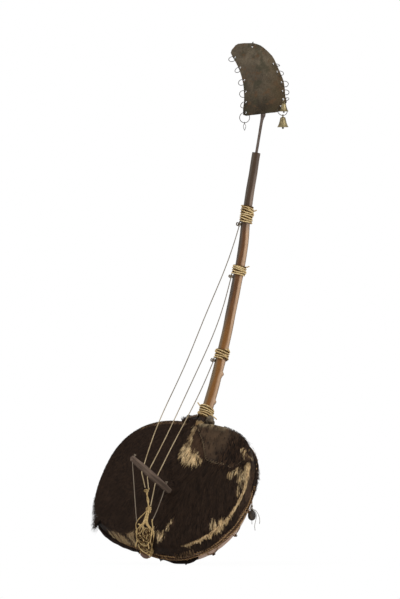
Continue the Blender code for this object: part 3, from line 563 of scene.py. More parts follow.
def paleness(angle, past):
    """How pale the coat is there, from 0 to 1."""
    x, z = face_place(angle, past)
    found = most(PALE_SPOTS + TAN_SPOTS, x, z)
    streaks = 0.5 + 0.5 * ripple(x + 0.35 * z, z * 0.18, 5, 0.012)
    fine = 0.20 * ripple(x + 0.30 * z, z * 0.10, 6, 0.0045) * np.minimum(3 * found, 1)
    found = (found * (0.48 + 0.80 * streaks) + fine - 0.20) / 0.48
    return np.clip(np.maximum(found, fold_at(angle, past) * (0.75 + 0.3 * streaks)), 0, 1)


hide_pale = paleness(np.concatenate([turn] * len(top)), np.concatenate(pasts))
hide_pale = np.concatenate([hide_pale, np.zeros(len(top) * HIDE_AROUND + 2)])


def hide_colour(look):
    pale_part = look.kept("pale")
    dark = look.mix(look.blots(0.35, 0.65, 45, 5), (0.012, 0.0078, 0.0062), (0.022, 0.0135, 0.0098))
    cream = look.mix(look.blots(0.35, 0.7, 160, 5), (0.70, 0.49, 0.26), (0.42, 0.26, 0.12))
    return look.mix(pale_part, dark, cream)


hide_skin = finish("hide_skin", hide_colour, 0.62, (420, 4, 0.7), gloss=0.04, depth=0.0008)
hide = piece("hide", hide_points, faces, hide_skin, stands_for=["hide_head"], slot="hair_hide", pale=hide_pale)

# Coat on the hide: short and close on the left of the face, longer and in locks on the right and down the sides.
# The hair lies towards the tail; it is black-brown with cream and tan patches, and rubbed short on the worn fold.
COAT_SHORT, COAT_LONG, COAT_FRINGE, COAT_FOLD = 14000, 17000, 420, 900
HAIR_ROOT, HAIR_DOWN, COAT_PAST, COAT_CLEAR = 0.0004, 0.95, 0.036, 0.003
# the worn place that the patch covers, by its inner edge
PATCH_SEAM = ((0.008, 0.166), (0.020, 0.150), (0.035, 0.130), (0.046, 0.111), (0.055, 0.094), (0.065, 0.079),
              (0.092, 0.072), (0.118, 0.071), (0.139, 0.066), (0.159, 0.087), (0.174, 0.099))
PATCH_FROM, PATCH_TO, PATCH_OVER, PATCH_THICK = 1.53, 0.50, 0.013, 0.0015


def lie(angle, past, length, swing):
    """Steps round and past the rim that a hair of that length takes over the hide."""
    r = face_radius(angle) + past
    x = RIM_CENTRE[0] + r * np.cos(angle)
    across = np.interp(x, (-0.14, -0.03, 0.05, 0.19), (-0.42, -0.34, 0.22, 0.40)) + swing
    size = np.hypot(across, HAIR_DOWN)
    dx, dz = across / size, -HAIR_DOWN / size
    outward, around = dx * np.cos(angle) + dz * np.sin(angle), dz * np.cos(angle) - dx * np.sin(angle)
    return length * around / np.maximum(r, 0.02), length * outward


def strands(name, places, normals, width, tone, shade):
    """Tapered flat hairs, each through four places, flat to the four normals."""
    n = len(width)
    points = np.zeros((n, 7, 3))
    for k, thick in enumerate((1.0, 0.92, 0.6)):
        ahead = places[k + 1] - places[max(k - 1, 0)]
        half = unit(np.cross(normals[k], ahead)) * (width * thick / 2)[:, None]
        points[:, 2 * k], points[:, 2 * k + 1] = places[k] - half, places[k] + half
    points[:, 6] = places[3]
    start = np.arange(n)[:, None] * 7
    quads = np.concatenate([start + np.array([0, 1, 3, 2]), start + np.array([2, 3, 5, 4])]).tolist()
    faces = quads + (start + np.array([4, 5, 6])).tolist()
    made = piece(name, points.reshape(-1, 3), faces, hair_look, slot="hair_hide", closed=False,
                 tone=np.repeat(tone, 7), shade=np.repeat(shade, 7))
    # each hair keeps a cell of its own where the coat is laid out flat
    across = int(np.ceil(np.sqrt(n * 3)))
    corner = np.array([(0.2, 0.1), (0.8, 0.1), (0.25, 0.4), (0.75, 0.4), (0.35, 0.7), (0.65, 0.7), (0.5, 0.9)])
    k = np.arange(n)
    flat = np.stack([(k % across)[:, None] + corner[:, 0], (k // across)[:, None] + corner[:, 1]], -1)
    flat = (flat / (across, np.ceil(n / across))).reshape(-1, 2)
    loops = np.zeros(len(made.data.loops), np.int32)
    made.data.loops.foreach_get("vertex_index", loops)
    made.data.uv_layers.new(name="OFBake").data.foreach_set("uv", flat[loops].ravel())
    return made


def coat(name, angle, past, length, width, lift, swing, tone, shade, raised=0.0):
    """Hairs that follow the hide, with their roots just under it."""
    step_round, step_out = lie(angle, past, length, swing)
    places, normals = [], []
    for share, rise in ((0.0, 0.0), (0.36, 0.75), (0.72, 1.1), (1.0, 1.0)):
        a, p = angle + step_round * share, past + step_out * share
        normals.append(normal_of(bare_hide, a, p))
        off = raised + lift * length * rise - (HAIR_ROOT if share == 0 else 0)
        places.append(hide_at(a, p) + normals[-1] * off[:, None])
    return strands(name, places, normals, width, tone, shade)


def hair_colour(look):
    tone, shade = look.kept("tone"), look.kept("shade")
    dark = look.mix(shade, (0.0080, 0.0052, 0.0040), (0.0290, 0.0175, 0.0120))
    light = look.mix(shade, (0.42, 0.250, 0.098), (0.94, 0.71, 0.40))
    return look.mix(tone, dark, look.mix(look.between(tone, 0.12, 0.40), (0.52, 0.290, 0.165), light))


hair_look = finish("hair", hair_colour, (0.46, 0.2, 300, 2), gloss=0.05)
draws = np.random.default_rng(11)
some = draws.uniform


def about(middle, spread, n):
    """Random shares from 0 to 1, near a middle one."""
    return np.clip(draws.normal(middle, spread, n), 0, 1)


def scatter(count, keep):
    """Random places on the hide, even over its area, where keep says so: angle and distance past the rim."""
    got_a, got_p = [], []
    while sum(map(len, got_a)) < count:
        a, pick = some(-pi, pi, 4 * count), some(0, 1, 4 * count)
        rim = face_radius(a)
        p = -rim + np.sqrt(pick * (rim ** 2 + 2 * rim * COAT_PAST))
        p = np.where(p > 0, (p * (2 * rim + p) / (2 * rim)), p)
        good = (p < band_end(a) - COAT_CLEAR) & keep(a, p)
        got_a.append(a[good])
        got_p.append(p[good])
    return np.concatenate(got_a)[:count], np.concatenate(got_p)[:count]


def smooth_side(angle, past):
    """True on the smooth, short-haired left of the face."""
    x, z = face_place(angle, past)
    return (x + 0.10 * z < -0.012 + 0.016 * ripple(x, z, 3, 0.05)) & (past < 0.012)


def toned(angle, past):
    """Each hair is pale or dark: pale ones are commoner where the coat is pale."""
    pale = paleness(angle, past)
    x, z = face_place(angle, past)
    light = some(0, 1, len(pale)) < pale
    cream = 1 - 0.48 * np.minimum(1.4 * most(TAN_SPOTS, x, z), 1)
    cream = cream * np.clip(0.96 + 0.60 * ripple(x + 0.33 * z, z * 0.16, 8, 0.0085), 0.26, 1.20)
    light_tone = some(0.78, 1.0, len(pale)) * cream * (0.40 + 0.60 * pale)
    dark_tone = some(0, 0.04, len(pale)) + 0.10 * most(BROWN_SPOTS, x, z)
    return np.where(light, np.minimum(light_tone, 1), dark_tone)


n = COAT_SHORT
a, p = scatter(n, smooth_side)
x, z = face_place(a, p)
tone = toned(a, p)
# painted light: the thin hair over the upper edge is toned paler, as light shines through it from behind
upper_edge = (np.abs(p) < 0.009) & (a > 1.62) & (a < 2.35)
tone = np.where(upper_edge, np.maximum(tone, some(0, 0.30, n)), tone)
shade = np.clip(0.46 + 0.16 * ripple(x, z, 21, 0.07) + draws.normal(0, 0.10, n), 0, 1)
coat("coat_short", a, p, some(0.007, 0.011, n), some(0.0008, 0.0013, n), some(0.04, 0.10, n),
     draws.normal(0, 0.07, n), tone, shade)


def patched(angle, past):
    """True where the patch lies over the hide."""
    seam = np.array(PATCH_SEAM[8::-1]) - RIM_CENTRE
    inner = np.interp(angle, np.arctan2(seam[:, 1], seam[:, 0]), np.hypot(seam[:, 0], seam[:, 1]))
    return (angle > PATCH_TO) & (angle < PATCH_FROM) & (face_radius(angle) + past > inner) & (past < PATCH_OVER)


def shaggy(angle, past):
    return ~smooth_side(angle, past) & (fold_at(angle, past) < 0.30) & ~patched(angle, past)


n = COAT_LONG
a, p = scatter(n, shaggy)
x, z = face_place(a, p)
lock = ripple(x + 0.33 * z, z * 0.20, 31, 0.016)
tone = toned(a, p)
# the side band is faded to brown at the right
on_band = p > 0.006
faded = np.interp(a, (-0.35, -0.05, 0.10, 0.35, 0.60), (0, 0.050, 0.110, 0.090, 0.03))
tone = np.where(on_band & (tone < 0.1), tone + faded, tone)
shade = np.clip(0.34 + 0.26 * lock + draws.normal(0, 0.15, n), 0, 1)
shade = np.where(on_band & (a > -0.2) & (a < 0.6) | (tone > 0.3), np.minimum(shade + 0.26, 1), shade)
long_hair = np.where(p < 0, some(0.016, 0.027, n), some(0.008, 0.014, n))
long_hair = np.where((p < 0) & (p > -0.018), long_hair * 0.75, long_hair)
# hair above the fold is worn too short to hang over it
_, outward = lie(a, p, 1.0, 0.0)
fold_line = np.interp(a, FOLD_TURN, FOLD_PAST)
space = np.maximum((fold_line - 0.0030 - p) / np.maximum(outward, 0.12), 0.004)
long_hair = np.where((fold_at(a, fold_line) > 0.3) & (p < fold_line), np.minimum(long_hair, space), long_hair)
coat("coat_long", a, p, long_hair, some(0.0011, 0.0018, n), some(0.05, 0.13, n) + 0.05 * np.clip(lock, 0, 1),
     0.10 * ripple(x, z, 41, 0.03) + draws.normal(0, 0.06, n), tone, shade)

# pale hair in clumps below the fold
n = COAT_FRINGE
a, p = some(-0.86, -0.36, n), some(0.0030, 0.0062, n)
clump = np.clip(ripple(a * 0.18, p * 0, 61, 0.022) + 0.5, 0.15, 1)
coat("coat_fringe", a, p, some(0.006, 0.015, n) * clump, some(0.0010, 0.0016, n), some(0.08, 0.20, n),
     draws.normal(0, 0.16, n), some(0.45, 1.0, n), some(0.0, 0.8, n))

# short rubbed hair on the fold itself
n = COAT_FOLD
a = some(-1.05, 0.64, n)
p = np.interp(a, FOLD_TURN, FOLD_PAST) + np.interp(a, FOLD_TURN, FOLD_WIDE) * some(-1.1, 0.9, n)
coat("coat_fold", a, p, some(0.004, 0.009, n), some(0.0008, 0.0014, n), some(0.03, 0.10, n), draws.normal(0, 0.12, n),
     np.where(some(0, 1, n) < 0.72, some(0.55, 1.0, n), some(0.0, 0.25, n)), some(0.1, 1.0, n))

# Patch: a second, older piece of the same skin laid over a worn place at the upper right and turned over the rim.
# Its inner half is rubbed bare and brown, its outer half still has black hair, and its edge has curled a little.
PATCH_LONG, PATCH_WIDE, PATCH_RIM = 64, 26, 0.8
PATCH_GAP, PATCH_HAIR, SEAM_STEP = 0.0006, 0.0021, 0.002


def run_of(line):
    """The length of a line from its start to each of its points."""
    return np.concatenate([[0], np.cumsum(np.linalg.norm(np.diff(line, axis=0), axis=1))])


def smooth_line(points, step):
    """The points joined by one smooth curve, as points an even step apart."""
    p = np.array([tuple(q) for q in points], float)
    p = np.concatenate([2 * p[:1] - p[1:2], p, 2 * p[-1:] - p[-2:-1]])
    t = np.linspace(0, 1, 10)[:-1, None]
    fine = []
    for a, b, c, d in zip(p, p[1:], p[2:], p[3:]):
        fine.append(b + 0.5 * ((c - a) * t + (2 * a - 5 * b + 4 * c - d) * t ** 2 + (3 * b - a - 3 * c + d) * t ** 3))
    fine = np.concatenate(fine + [p[-2:-1]])
    run = run_of(fine)
    at = np.linspace(0, run[-1], max(2, int(round(run[-1] / step))) + 1)
    return np.stack([np.interp(at, run, fine[:, i]) for i in range(fine.shape[1])], 1)


def on_face(x, z):
    """The angle and the distance past the rim of a place on the face."""
    angle = np.arctan2(z - RIM_CENTRE[1], x - RIM_CENTRE[0])
    return angle, np.hypot(x - RIM_CENTRE[0], z - RIM_CENTRE[1]) - face_radius(angle)


def patch_place(u, v):
    """Angle and distance past the rim on the patch: u along the seam, v from the seam to its turned edge."""
    along = np.linspace(0, 1, len(seam_flat))
    seam_x, seam_z = np.interp(u, along, seam_flat[:, 0]), np.interp(u, along, seam_flat[:, 1])
    rim_x, rim_z = face_place(PATCH_FROM + (PATCH_TO - PATCH_FROM) * u, 0)
    outward = np.minimum(v / PATCH_RIM, 1)
    angle, past = on_face(seam_x + (rim_x - seam_x) * outward, seam_z + (rim_z - seam_z) * outward)
    return angle, past + np.clip((v - PATCH_RIM) / (1 - PATCH_RIM), 0, 1) * PATCH_OVER


seam_flat = smooth_line(PATCH_SEAM, SEAM_STEP)
u, v = (g.ravel() for g in np.meshgrid(np.linspace(0, 1, PATCH_LONG), np.linspace(0, 1, PATCH_WIDE), indexing="ij"))
angle, past = patch_place(u, v)
x, z = face_place(angle, past)
curl = 0.0012 * np.exp(-(v / 0.03) ** 2) * (0.5 + 0.5 * ripple(u * 0.17, v * 0, 51, 0.03))
wave = 0.0005 * ripple(x, z, 52, 0.04) + curl
away = normal_of(bare_hide, angle, past)
over = hide_at(angle, past) + away * (PATCH_THICK + PATCH_GAP + wave)[:, None]
below = over - away * PATCH_THICK
n = len(over)
faces = []
for i in range(PATCH_LONG - 1):
    for j in range(PATCH_WIDE - 1):
        q = i * PATCH_WIDE + j
        quad = (q, q + 1, q + PATCH_WIDE + 1, q + PATCH_WIDE)
        faces += [quad, tuple(k + n for k in quad[::-1])]
ring = list(range(PATCH_WIDE)) + [i * PATCH_WIDE + PATCH_WIDE - 1 for i in range(1, PATCH_LONG)]
ring += [(PATCH_LONG - 1) * PATCH_WIDE + j for j in range(PATCH_WIDE - 2, -1, -1)]
ring += [i * PATCH_WIDE for i in range(PATCH_LONG - 2, 0, -1)]
faces += [(a, b, b + n, a + n) for a, b in zip(ring, ring[1:] + ring[:1])]
edge_dirt = np.exp(-(v / 0.10) ** 2)
# rubbed pale over the rim beside the neck
rim_rub = 1.3 * np.exp(-(past / 0.009) ** 2) * np.clip((angle - 1.02) / 0.22, 0, 1)
rim_rub = np.clip(rim_rub * (0.6 + 0.4 * ripple(x, z, 55, 0.02)), 0, 1)


def past_bare(x, z, edge):
    """How far a place lies outside the bare half, past a line from the top of the patch to its lower corner."""
    return x - edge + 0.30 * (0.12 - z) + 0.012 * ripple(x, z, 53, 0.03)


haired = np.clip(past_bare(x, z, 0.080) / 0.040, 0, 1)


def patch_colour(look):
    rub = look.blots(0.34, 0.68, 38, 5)
    brown = look.mix(rub, (0.042, 0.026, 0.015), (0.074, 0.045, 0.026))
    brown = look.mix(look.blots(0.5, 0.75, 190, 5, 0.65) * 0.35, brown, (0.11, 0.074, 0.045))
    brown = look.mix(look.kept("dirt") * 0.55, brown, (0.020, 0.013, 0.010))
    brown = look.mix(look.kept("rubbed"), brown, look.mix(rub, (0.36, 0.28, 0.165), (0.20, 0.15, 0.085)))
    return look.mix(look.kept("haired"), brown, (0.013, 0.0088, 0.0072))


patch_skin = finish("patch_skin", patch_colour, (0.48, 0.2, 90), (260, 5, 0.65), gloss=0.08, depth=0.0009)
patch = piece("patch", np.concatenate([over, below]), faces, patch_skin, stands_for=["hide_patch"], slot="worn_hide",
              haired=np.tile(haired, 2), dirt=np.tile(edge_dirt, 2), rubbed=np.tile(rim_rub, 2))

pick = some(0, 1, (2, 9000))
angle, past = patch_place(pick[0], 0.02 + 0.95 * pick[1])
x, z = face_place(angle, past)
grown = past_bare(x, z, 0.082) / 0.03 + draws.normal(0, 0.30, len(x))
thin = some(0, 1, len(x)) < np.where(grown > 0.5, 0.36, 0.012)
angle, past, x, z = angle[thin], past[thin], x[thin], z[thin]
shade = np.clip(0.22 + 0.24 * ripple(x + 0.33 * z, z * 0.2, 54, 0.016) + draws.normal(0, 0.14, len(x)), 0, 1)
n = len(x)
coat("coat_patch", angle, past, some(0.011, 0.021, n), some(0.0010, 0.0017, n), some(0.06, 0.16, n),
     draws.normal(0, 0.14, n), about(0.03, 0.05, n), shade, raised=PATCH_HAIR)

# Seam: the patch's inner edge is whipped down with thin sinew, whose stitches slant over the edge.
# Cords are two strands laid together; the same way of laying serves every thong, twine and string on the instrument.
SEAM_R, STITCH_GAP = 0.0007, 0.0075


def laid(line, radius, lay, sides=7, roundness=0.70):
    """A twisted cord along a line of even steps: its points and a grain that turns with its strands."""
    ways = unit(np.gradient(line, axis=0))
    aside = np.cross(ways[0], (0.31, 0.90, 0.23))
    asides = []
    for way in ways:
        aside = unit(aside - way * (aside @ way))
        asides.append(aside)
    asides = np.array(asides)
    up = np.cross(ways, asides)
    run = run_of(line)
    phi = np.arange(sides) * 2 * pi / sides
    turned = phi[None] - 2 * pi * run[:, None] / lay
    r = np.broadcast_to(np.asarray(radius, float), len(line))[:, None]
    r = r * (roundness + (1 - roundness) * np.cos(turned) ** 2)
    r[[0, -1]] *= 0.55
    out = np.cos(phi)[None, :, None] * asides[:, None] + np.sin(phi)[None, :, None] * up[:, None]
    points = line[:, None] + r[..., None] * out
    grain = np.stack([np.cos(turned), np.sin(turned), np.broadcast_to(run[:, None] * 60, turned.shape)], -1)
    return points.reshape(-1, 3), grain.reshape(-1, 3)


def cords(name, lines, radius, look, lay=0.0075, sides=7, step=0.0013, roundness=0.70, **kept):
    """One piece of several twisted cords, each through its own points."""
    points, grains, faces, base = [], [], [], 0
    for line in lines:
        line = smooth_line(line, step)
        p, g = laid(line, radius, lay, sides, roundness)
        points.append(p)
        grains.append(g)
        faces += tube(len(line), sides, base)
        base += len(p)
    return piece(name, np.concatenate(points), faces, look, grain=np.concatenate(grains), **kept)


def cord_colour(shade_and_stain, wear_and_sheen, pale):
    """A cord's colour: dark in blots and, as painted shade, between its strands; its own tone on them, with paler
    fibres.
    """
    def made(look):
        strand = look.node("SeparateXYZ", None, "X", Vector=look.kept("grain", "Vector"))
        fibre = look.grain((2.0, 2.0, 0.55), 2.4, 5, 0.7)
        tone = look.mix(look.between(fibre, 0.36, 0.66), wear_and_sheen, pale)
        tone = look.mix(look.blots(0.42, 0.7, 34, 4) * 0.55, tone, shade_and_stain)
        # painted shade in the grooves between the strands
        return look.mix(1 - look.between(strand * strand, 0.04, 0.5), tone, shade_and_stain)
    return made


def fibres(look):
    return look.grain((2.4, 2.4, 0.4), 2.6, 5, 0.7)


def cord_look(name, shade_and_stain, wear_and_sheen, pale, gloss=0.1):
    return finish(name, cord_colour(shade_and_stain, wear_and_sheen, pale), 0.72, fibres, gloss=gloss, depth=0.0004)


def above_hide(angle, past, off):
    """A place off the hide."""
    angle, past = np.asarray(angle, float), np.asarray(past, float)
    return hide_at(angle, past) + normal_of(bare_hide, angle, past) * np.asarray(off)[..., None]


sinew = cord_look("sinew", (0.050, 0.030, 0.017), (0.20, 0.135, 0.075), (0.36, 0.27, 0.16), 0.2)
STITCH_ALONG, STITCH_IN = np.array([-0.006, -0.002, 0.002, 0.006, 0.010]), np.array([0.0, 0.0, 0.016, 0.040, 0.052])
STITCH_OUT, STITCH_HIGH = np.array([0.0042, 0.0016, 0, 0, 0]), np.array([-0.0004, 0.0016, 0.0034, 0.0032, 0.0014])
stitches = []
for at in np.arange(0.02, 0.99, STITCH_GAP / (len(seam_flat) * SEAM_STEP)):
    a, p = patch_place(np.clip(at + STITCH_ALONG, 0, 1), STITCH_IN)
    stitches.append(above_hide(a, p - STITCH_OUT, STITCH_HIGH))
a, p = patch_place(np.linspace(0.0, 1.0, 60), np.full(60, 0.004))
stitches.append(above_hide(a, p, 0.0030 + 0.0006 * np.sin(np.linspace(0, 60, 60))))
cords("seam_sinew", stitches, SEAM_R, sinew, lay=0.004, sides=6, step=0.0011, stands_for=["patch_seam"], slot="thong")

# Rolled edge: at the right the hide's cut edge is rolled on itself with hair in it and twisted into a rough rope.
# Its cut edge is rolled more plainly under the hem at the left and the bottom. Rough tufts stick out of the rope,
# at the left corner, at the bottom, beside the neck and over the patch's lower corner.
ROLL_R, ROLL_LAY, ROLL_SIDES = 0.0052, 0.034, 11
TUFT_CORNER, TUFT_BOTTOM, TUFT_ROLL, TUFT_NECK, TUFT_PATCH = 420, 140, 420, 420, 190
STRAIGHT_DOWN = np.array(DOWN)
roll_angle = np.linspace(1.20, 0.12, 60)
roll_past = np.interp(roll_angle, (0.12, 0.50, 0.66, 0.80, 0.95, 1.20),
                      (0.0405, 0.0395, 0.0330, 0.0160, 0.0080, 0.0045))
roll_off = np.interp(roll_angle, (0.12, 0.50, 0.66, 0.80, 1.20), (0.0042, 0.0036, 0.0010, 0.0004, 0.0018))
roll_off = roll_off - 0.0018 + 0.0010 * np.sin(23 * roll_angle)


def rolled(name, line, knobs, high, ends, lay=ROLL_LAY, roundness=0.66):
    """A rope of rolled hide with knobs of that height along it."""
    line = smooth_line(line, 0.0018)
    run = np.linspace(0, 1, len(line))
    swell = 1 + high * (np.sin(2 * pi * knobs * run) + 0.5 * np.sin(2 * pi * knobs * 0.37 * run + 1))
    radius = ROLL_R * swell * np.interp(run, (0, 0.08, 0.85, 1), ends)
    points, _ = laid(line, radius, lay, ROLL_SIDES, roundness)
    piece(name, points, tube(len(line), ROLL_SIDES), hide_skin, slot="hair_hide", pale=np.zeros(len(points)))


rolled("edge_roll", above_hide(roll_angle, roll_past, roll_off), 19, 0.38, (0.5, 0.74, 0.70, 0.4))
rolled("edge_roll_inner", above_hide(roll_angle[22:], roll_past[22:] - 0.0062, roll_off[22:] - 0.0006), 13, 0.20,
       (0.5, 0.80, 0.80, 0.4))
# plain rolls: turns round the bowl and depths on it, points, height off it, knobs, their height, ends
PLAIN_ROLLS = (
    ("edge_roll_left", (-2.50, -2.26, -2.10, -1.90, -1.74), (0.036, 0.037, 0.041, 0.044, 0.045),
     40, 0.0064, 5, 0.05, (0.5, 1.15, 1.25, 0.8)),
    ("edge_roll_low", (-1.50, -1.38, -1.28, -1.12, -0.97), (0.045, 0.050, 0.062, 0.068, 0.060),
     30, 0.0024, 3, 0.06, (0.7, 1.15, 1.20, 0.35)),
)
for name, turns, depths, count, out, knobs, high, ends in PLAIN_ROLLS:
    angle = np.linspace(turns[0], turns[-1], count)
    rolled(name, bowl_point(angle, np.interp(angle, turns, depths), np.full(count, out)), knobs, high, ends, 0.11, 0.88)


def tuft(name, angle, past, off, length, width, way, spread, tone, shade):
    """Rough hairs that stand off the hide in one direction, bending down at their tips."""
    n = len(angle)
    root = above_hide(angle, past, np.full(n, off))
    normal = normal_of(bare_hide, angle, past)
    ways = unit(way + draws.normal(0, spread, (n, 3)))
    places = [root + ways * (length * s)[:, None] + STRAIGHT_DOWN * (length * 0.22 * s * s)[:, None]
              for s in (-0.03, 0.36, 0.72, 1.0)]
    return strands(name, places, [normal] * 4, width, tone, shade)


def outwards(angle):
    return np.stack([np.cos(angle), np.zeros_like(angle), np.sin(angle)], -1)


n = TUFT_CORNER
a, p = -2.38 - 0.40 * some(0, 1, n) ** 1.4, some(-0.004, 0.014, n)
ragged = (0.006 + 0.022 * ((a + 2.78) / 0.40) ** 2) * some(0.6, 1.15, n)
tuft("tuft_corner", a, p, 0.0, ragged, some(0.0010, 0.0018, n), outwards(a) * 0.9 + STRAIGHT_DOWN * 0.28, 0.13,
     about(0.01, 0.02, n), about(0.34, 0.16, n))
n = TUFT_BOTTOM
a, p = some(-1.22, -0.98, n), some(0.020, 0.033, n)
tuft("tuft_bottom", a, p, 0.0, some(0.007, 0.014, n), some(0.0010, 0.0017, n),
     outwards(a) * 0.35 + (0.12, 0.62, -0.30), 0.14, about(0.10, 0.16, n), about(0.28, 0.16, n))
n = TUFT_ROLL
pick = draws.integers(0, len(roll_angle), n)
a, p = roll_angle[pick], roll_past[pick]
tuft("tuft_roll", a, p, 0.006, some(0.004, 0.009, n), some(0.0010, 0.0017, n),
     outwards(a) * 0.30 + STRAIGHT_DOWN * 0.8 + (0.1, 0, 0), 0.22, about(0.04, 0.08, n), about(0.28, 0.16, n))
n = TUFT_NECK
a, p = some(1.50, 1.80, n), some(-0.010, 0.006, n)
pale_end = a < 1.59
tuft("tuft_neck", a, p, 0.0, some(0.006, 0.013, n) * np.where(pale_end, 1, 1.6), some(0.0010, 0.0018, n),
     outwards(a) * 0.75 + (-0.05, -0.25, 0.0), 0.18, np.where(pale_end, some(0.4, 0.9, n), 0.02), about(0.3, 0.16, n))
n = TUFT_PATCH
a = some(0.485, 0.670, n)
p = np.interp(a, (0.48, 0.52, 0.60, 0.67), (-0.0045, -0.0065, -0.0095, -0.0125)) + draws.normal(0, 0.0026, n)
streak = np.clip(1.2 * ripple(a * 0.2 - p, p * 0.2, 71, 0.006) + 0.75, 0.05, 1)
tuft("tuft_patch", a, p, 0.0062, some(0.006, 0.011, n), some(0.0009, 0.0015, n),
     normal_of(bare_hide, a, p) * 0.30 + STRAIGHT_DOWN * 0.8 + (0.12, 0, 0), 0.16, some(0.1, 1.0, n) * streak,
     some(0.0, 0.9, n))

# Hem: four turns of twisted thong lie round the bowl over the hide's lower edge and grip it.
# Two are still tan and two have gone dark; they sway, so that they touch and part.
BAND_DEPTH, HEM_R, HEM_LAID = 0.0375, 0.0021, dict(lay=0.012, sides=6, step=0.0024, slot="thong")
# depth on the bowl, height off it, and phase of each turn
HEM_TURNS = ((0.0382, 0.0042, 0.9), (0.0420, 0.0060, 2.6), (0.0458, 0.0060, 4.1), (0.0496, 0.0036, 5.3))
thong = cord_look("thong", (0.066, 0.029, 0.012), (0.28, 0.148, 0.064), (0.56, 0.375, 0.190))
old_thong = cord_look("old_thong", (0.012, 0.007, 0.004), (0.062, 0.031, 0.017), (0.16, 0.086, 0.044))
lines = []
turn = np.linspace(1.75, 1.75 + 2 * pi, 150)
for depth, out, phase in HEM_TURNS:
    weave = 0.0011 * np.sin(7 * turn + phase) + 0.0008 * np.sin(17 * turn + 2 * phase)
    lines.append(bowl_point(turn, depth + weave, out + 0.0007 * np.sin(11 * turn + 3 * phase)))
cords("hem_thongs", lines[::2], HEM_R, thong, stands_for=["hem_cord"], **HEM_LAID)
cords("hem_thongs_old", lines[1::2], HEM_R, old_thong, **HEM_LAID)

# Lacing: one thin thong runs zigzag round the bowl, up over the hem and down again, and draws the hide tight.
# At each low tip it is caught with a small knot of older, darker thong.
LACING_VEES, VEE_POINTS, LACING_DEPTH = 16, 8, 0.088
LACING_R, LACING_KNOT, KNOT_R = 0.0012, 0.0040, 0.0013
lace_turn = np.arange(LACING_VEES * VEE_POINTS + 1)
share = np.abs((lace_turn % VEE_POINTS) / (VEE_POINTS / 2) - 1)
lace_angle = 2 * pi * lace_turn / (LACING_VEES * VEE_POINTS) + 0.02 * np.sin(2.3 * lace_turn)
lace_depth = np.interp(share, (0, 0.28, 0.5, 1), (0.0350, 0.0430, 0.0530, LACING_DEPTH - 0.001))
lace_depth = lace_depth + 0.0010 * np.sin(1.7 * lace_turn)
lace_out = np.interp(share, (0, 0.28, 0.5, 1), (0.0045, 0.0092, 0.0030, 0.0019))


def knot(at, size, way, turned=0.0):
    """The line of a small overhand knot, its flat side across way."""
    way = Vector(way).normalized()
    one = way.orthogonal().normalized()
    two = way.cross(one)
    line = []
    for k in range(31):
        t = 2 * pi * k / 30 + turned
        flat = one * (sin(t) + 2 * sin(2 * t)) + two * (cos(t) - 2 * cos(2 * t))
        line.append(Vector(at) + (flat * 0.30 - way * (sin(3 * t) * 0.40)) * size)
    return line


cords("lacing_thong", [bowl_point(lace_angle, lace_depth, lace_out)], LACING_R, thong, lay=0.011, sides=6, step=0.0026,
      stands_for=["lacing"], slot="thong")
lines = []
for k in range(0, LACING_VEES * VEE_POINTS, VEE_POINTS):
    tip, above = (Vector(bowl_point(lace_angle[k], lace_depth[k] - up, 0.0030)) for up in (0.0, 0.01))
    lines.append(knot(tip, LACING_KNOT, above - tip, k))
cords("lacing_knots", lines, KNOT_R, old_thong, lay=0.011, sides=6, step=0.0014, slot="thong")

# Windings: rough plant twine bound round the neck. The lowest is fixed and carries the strap; the other three grip
# the neck by friction and slide along it to tune their strings. Each has an under layer of dark twine, the painted
# shade in the gaps between its turns, wavy turns of paler twine over it, and below it the grey knot of its string.
TWINE_R, TIE_TURN, KNOT_BELOW, KNOT_OUT = 0.0017, radians(40), 0.0075, 0.0047
UNDER_LAYER = dict(sides=6, step=0.0024, roundness=1.0, slot="twine")
# height along the spike, turns, and pitch
TUNING, BASE_WINDING = ((0.677, 7, 0.0056), (0.558, 4, 0.0056), (0.370, 4, 0.0060)), (0.2245, 5, 0.0058)
KNOTS = 0.0076, 0.0060, 0.0068
twine = cord_look("twine", (0.260, 0.136, 0.040), (0.91, 0.625, 0.270), (1.0, 0.87, 0.53))
# painted shade: the under layer's dark twine stands for the shadow in the gaps between the turns
shade_twine = cord_look("shade_twine", (0.024, 0.012, 0.004), (0.135, 0.066, 0.020), (0.30, 0.175, 0.065))
knot_twine = cord_look("knot_twine", (0.060, 0.046, 0.032), (0.230, 0.180, 0.125), (0.440, 0.360, 0.260))


def about_neck(length, angle, out):
    """Places round the neck: length along it, angle from its right side over its front, and height off its skin."""
    places = []
    for at, t, high in zip(*np.broadcast_arrays(length, angle, out)):
        centre, _, front = neck_at(float(at))
        places.append(centre + (Vector((1, 0, 0)) * cos(t) + front * sin(t)) * (neck_radius(float(at)) + float(high)))
    return np.array(places)


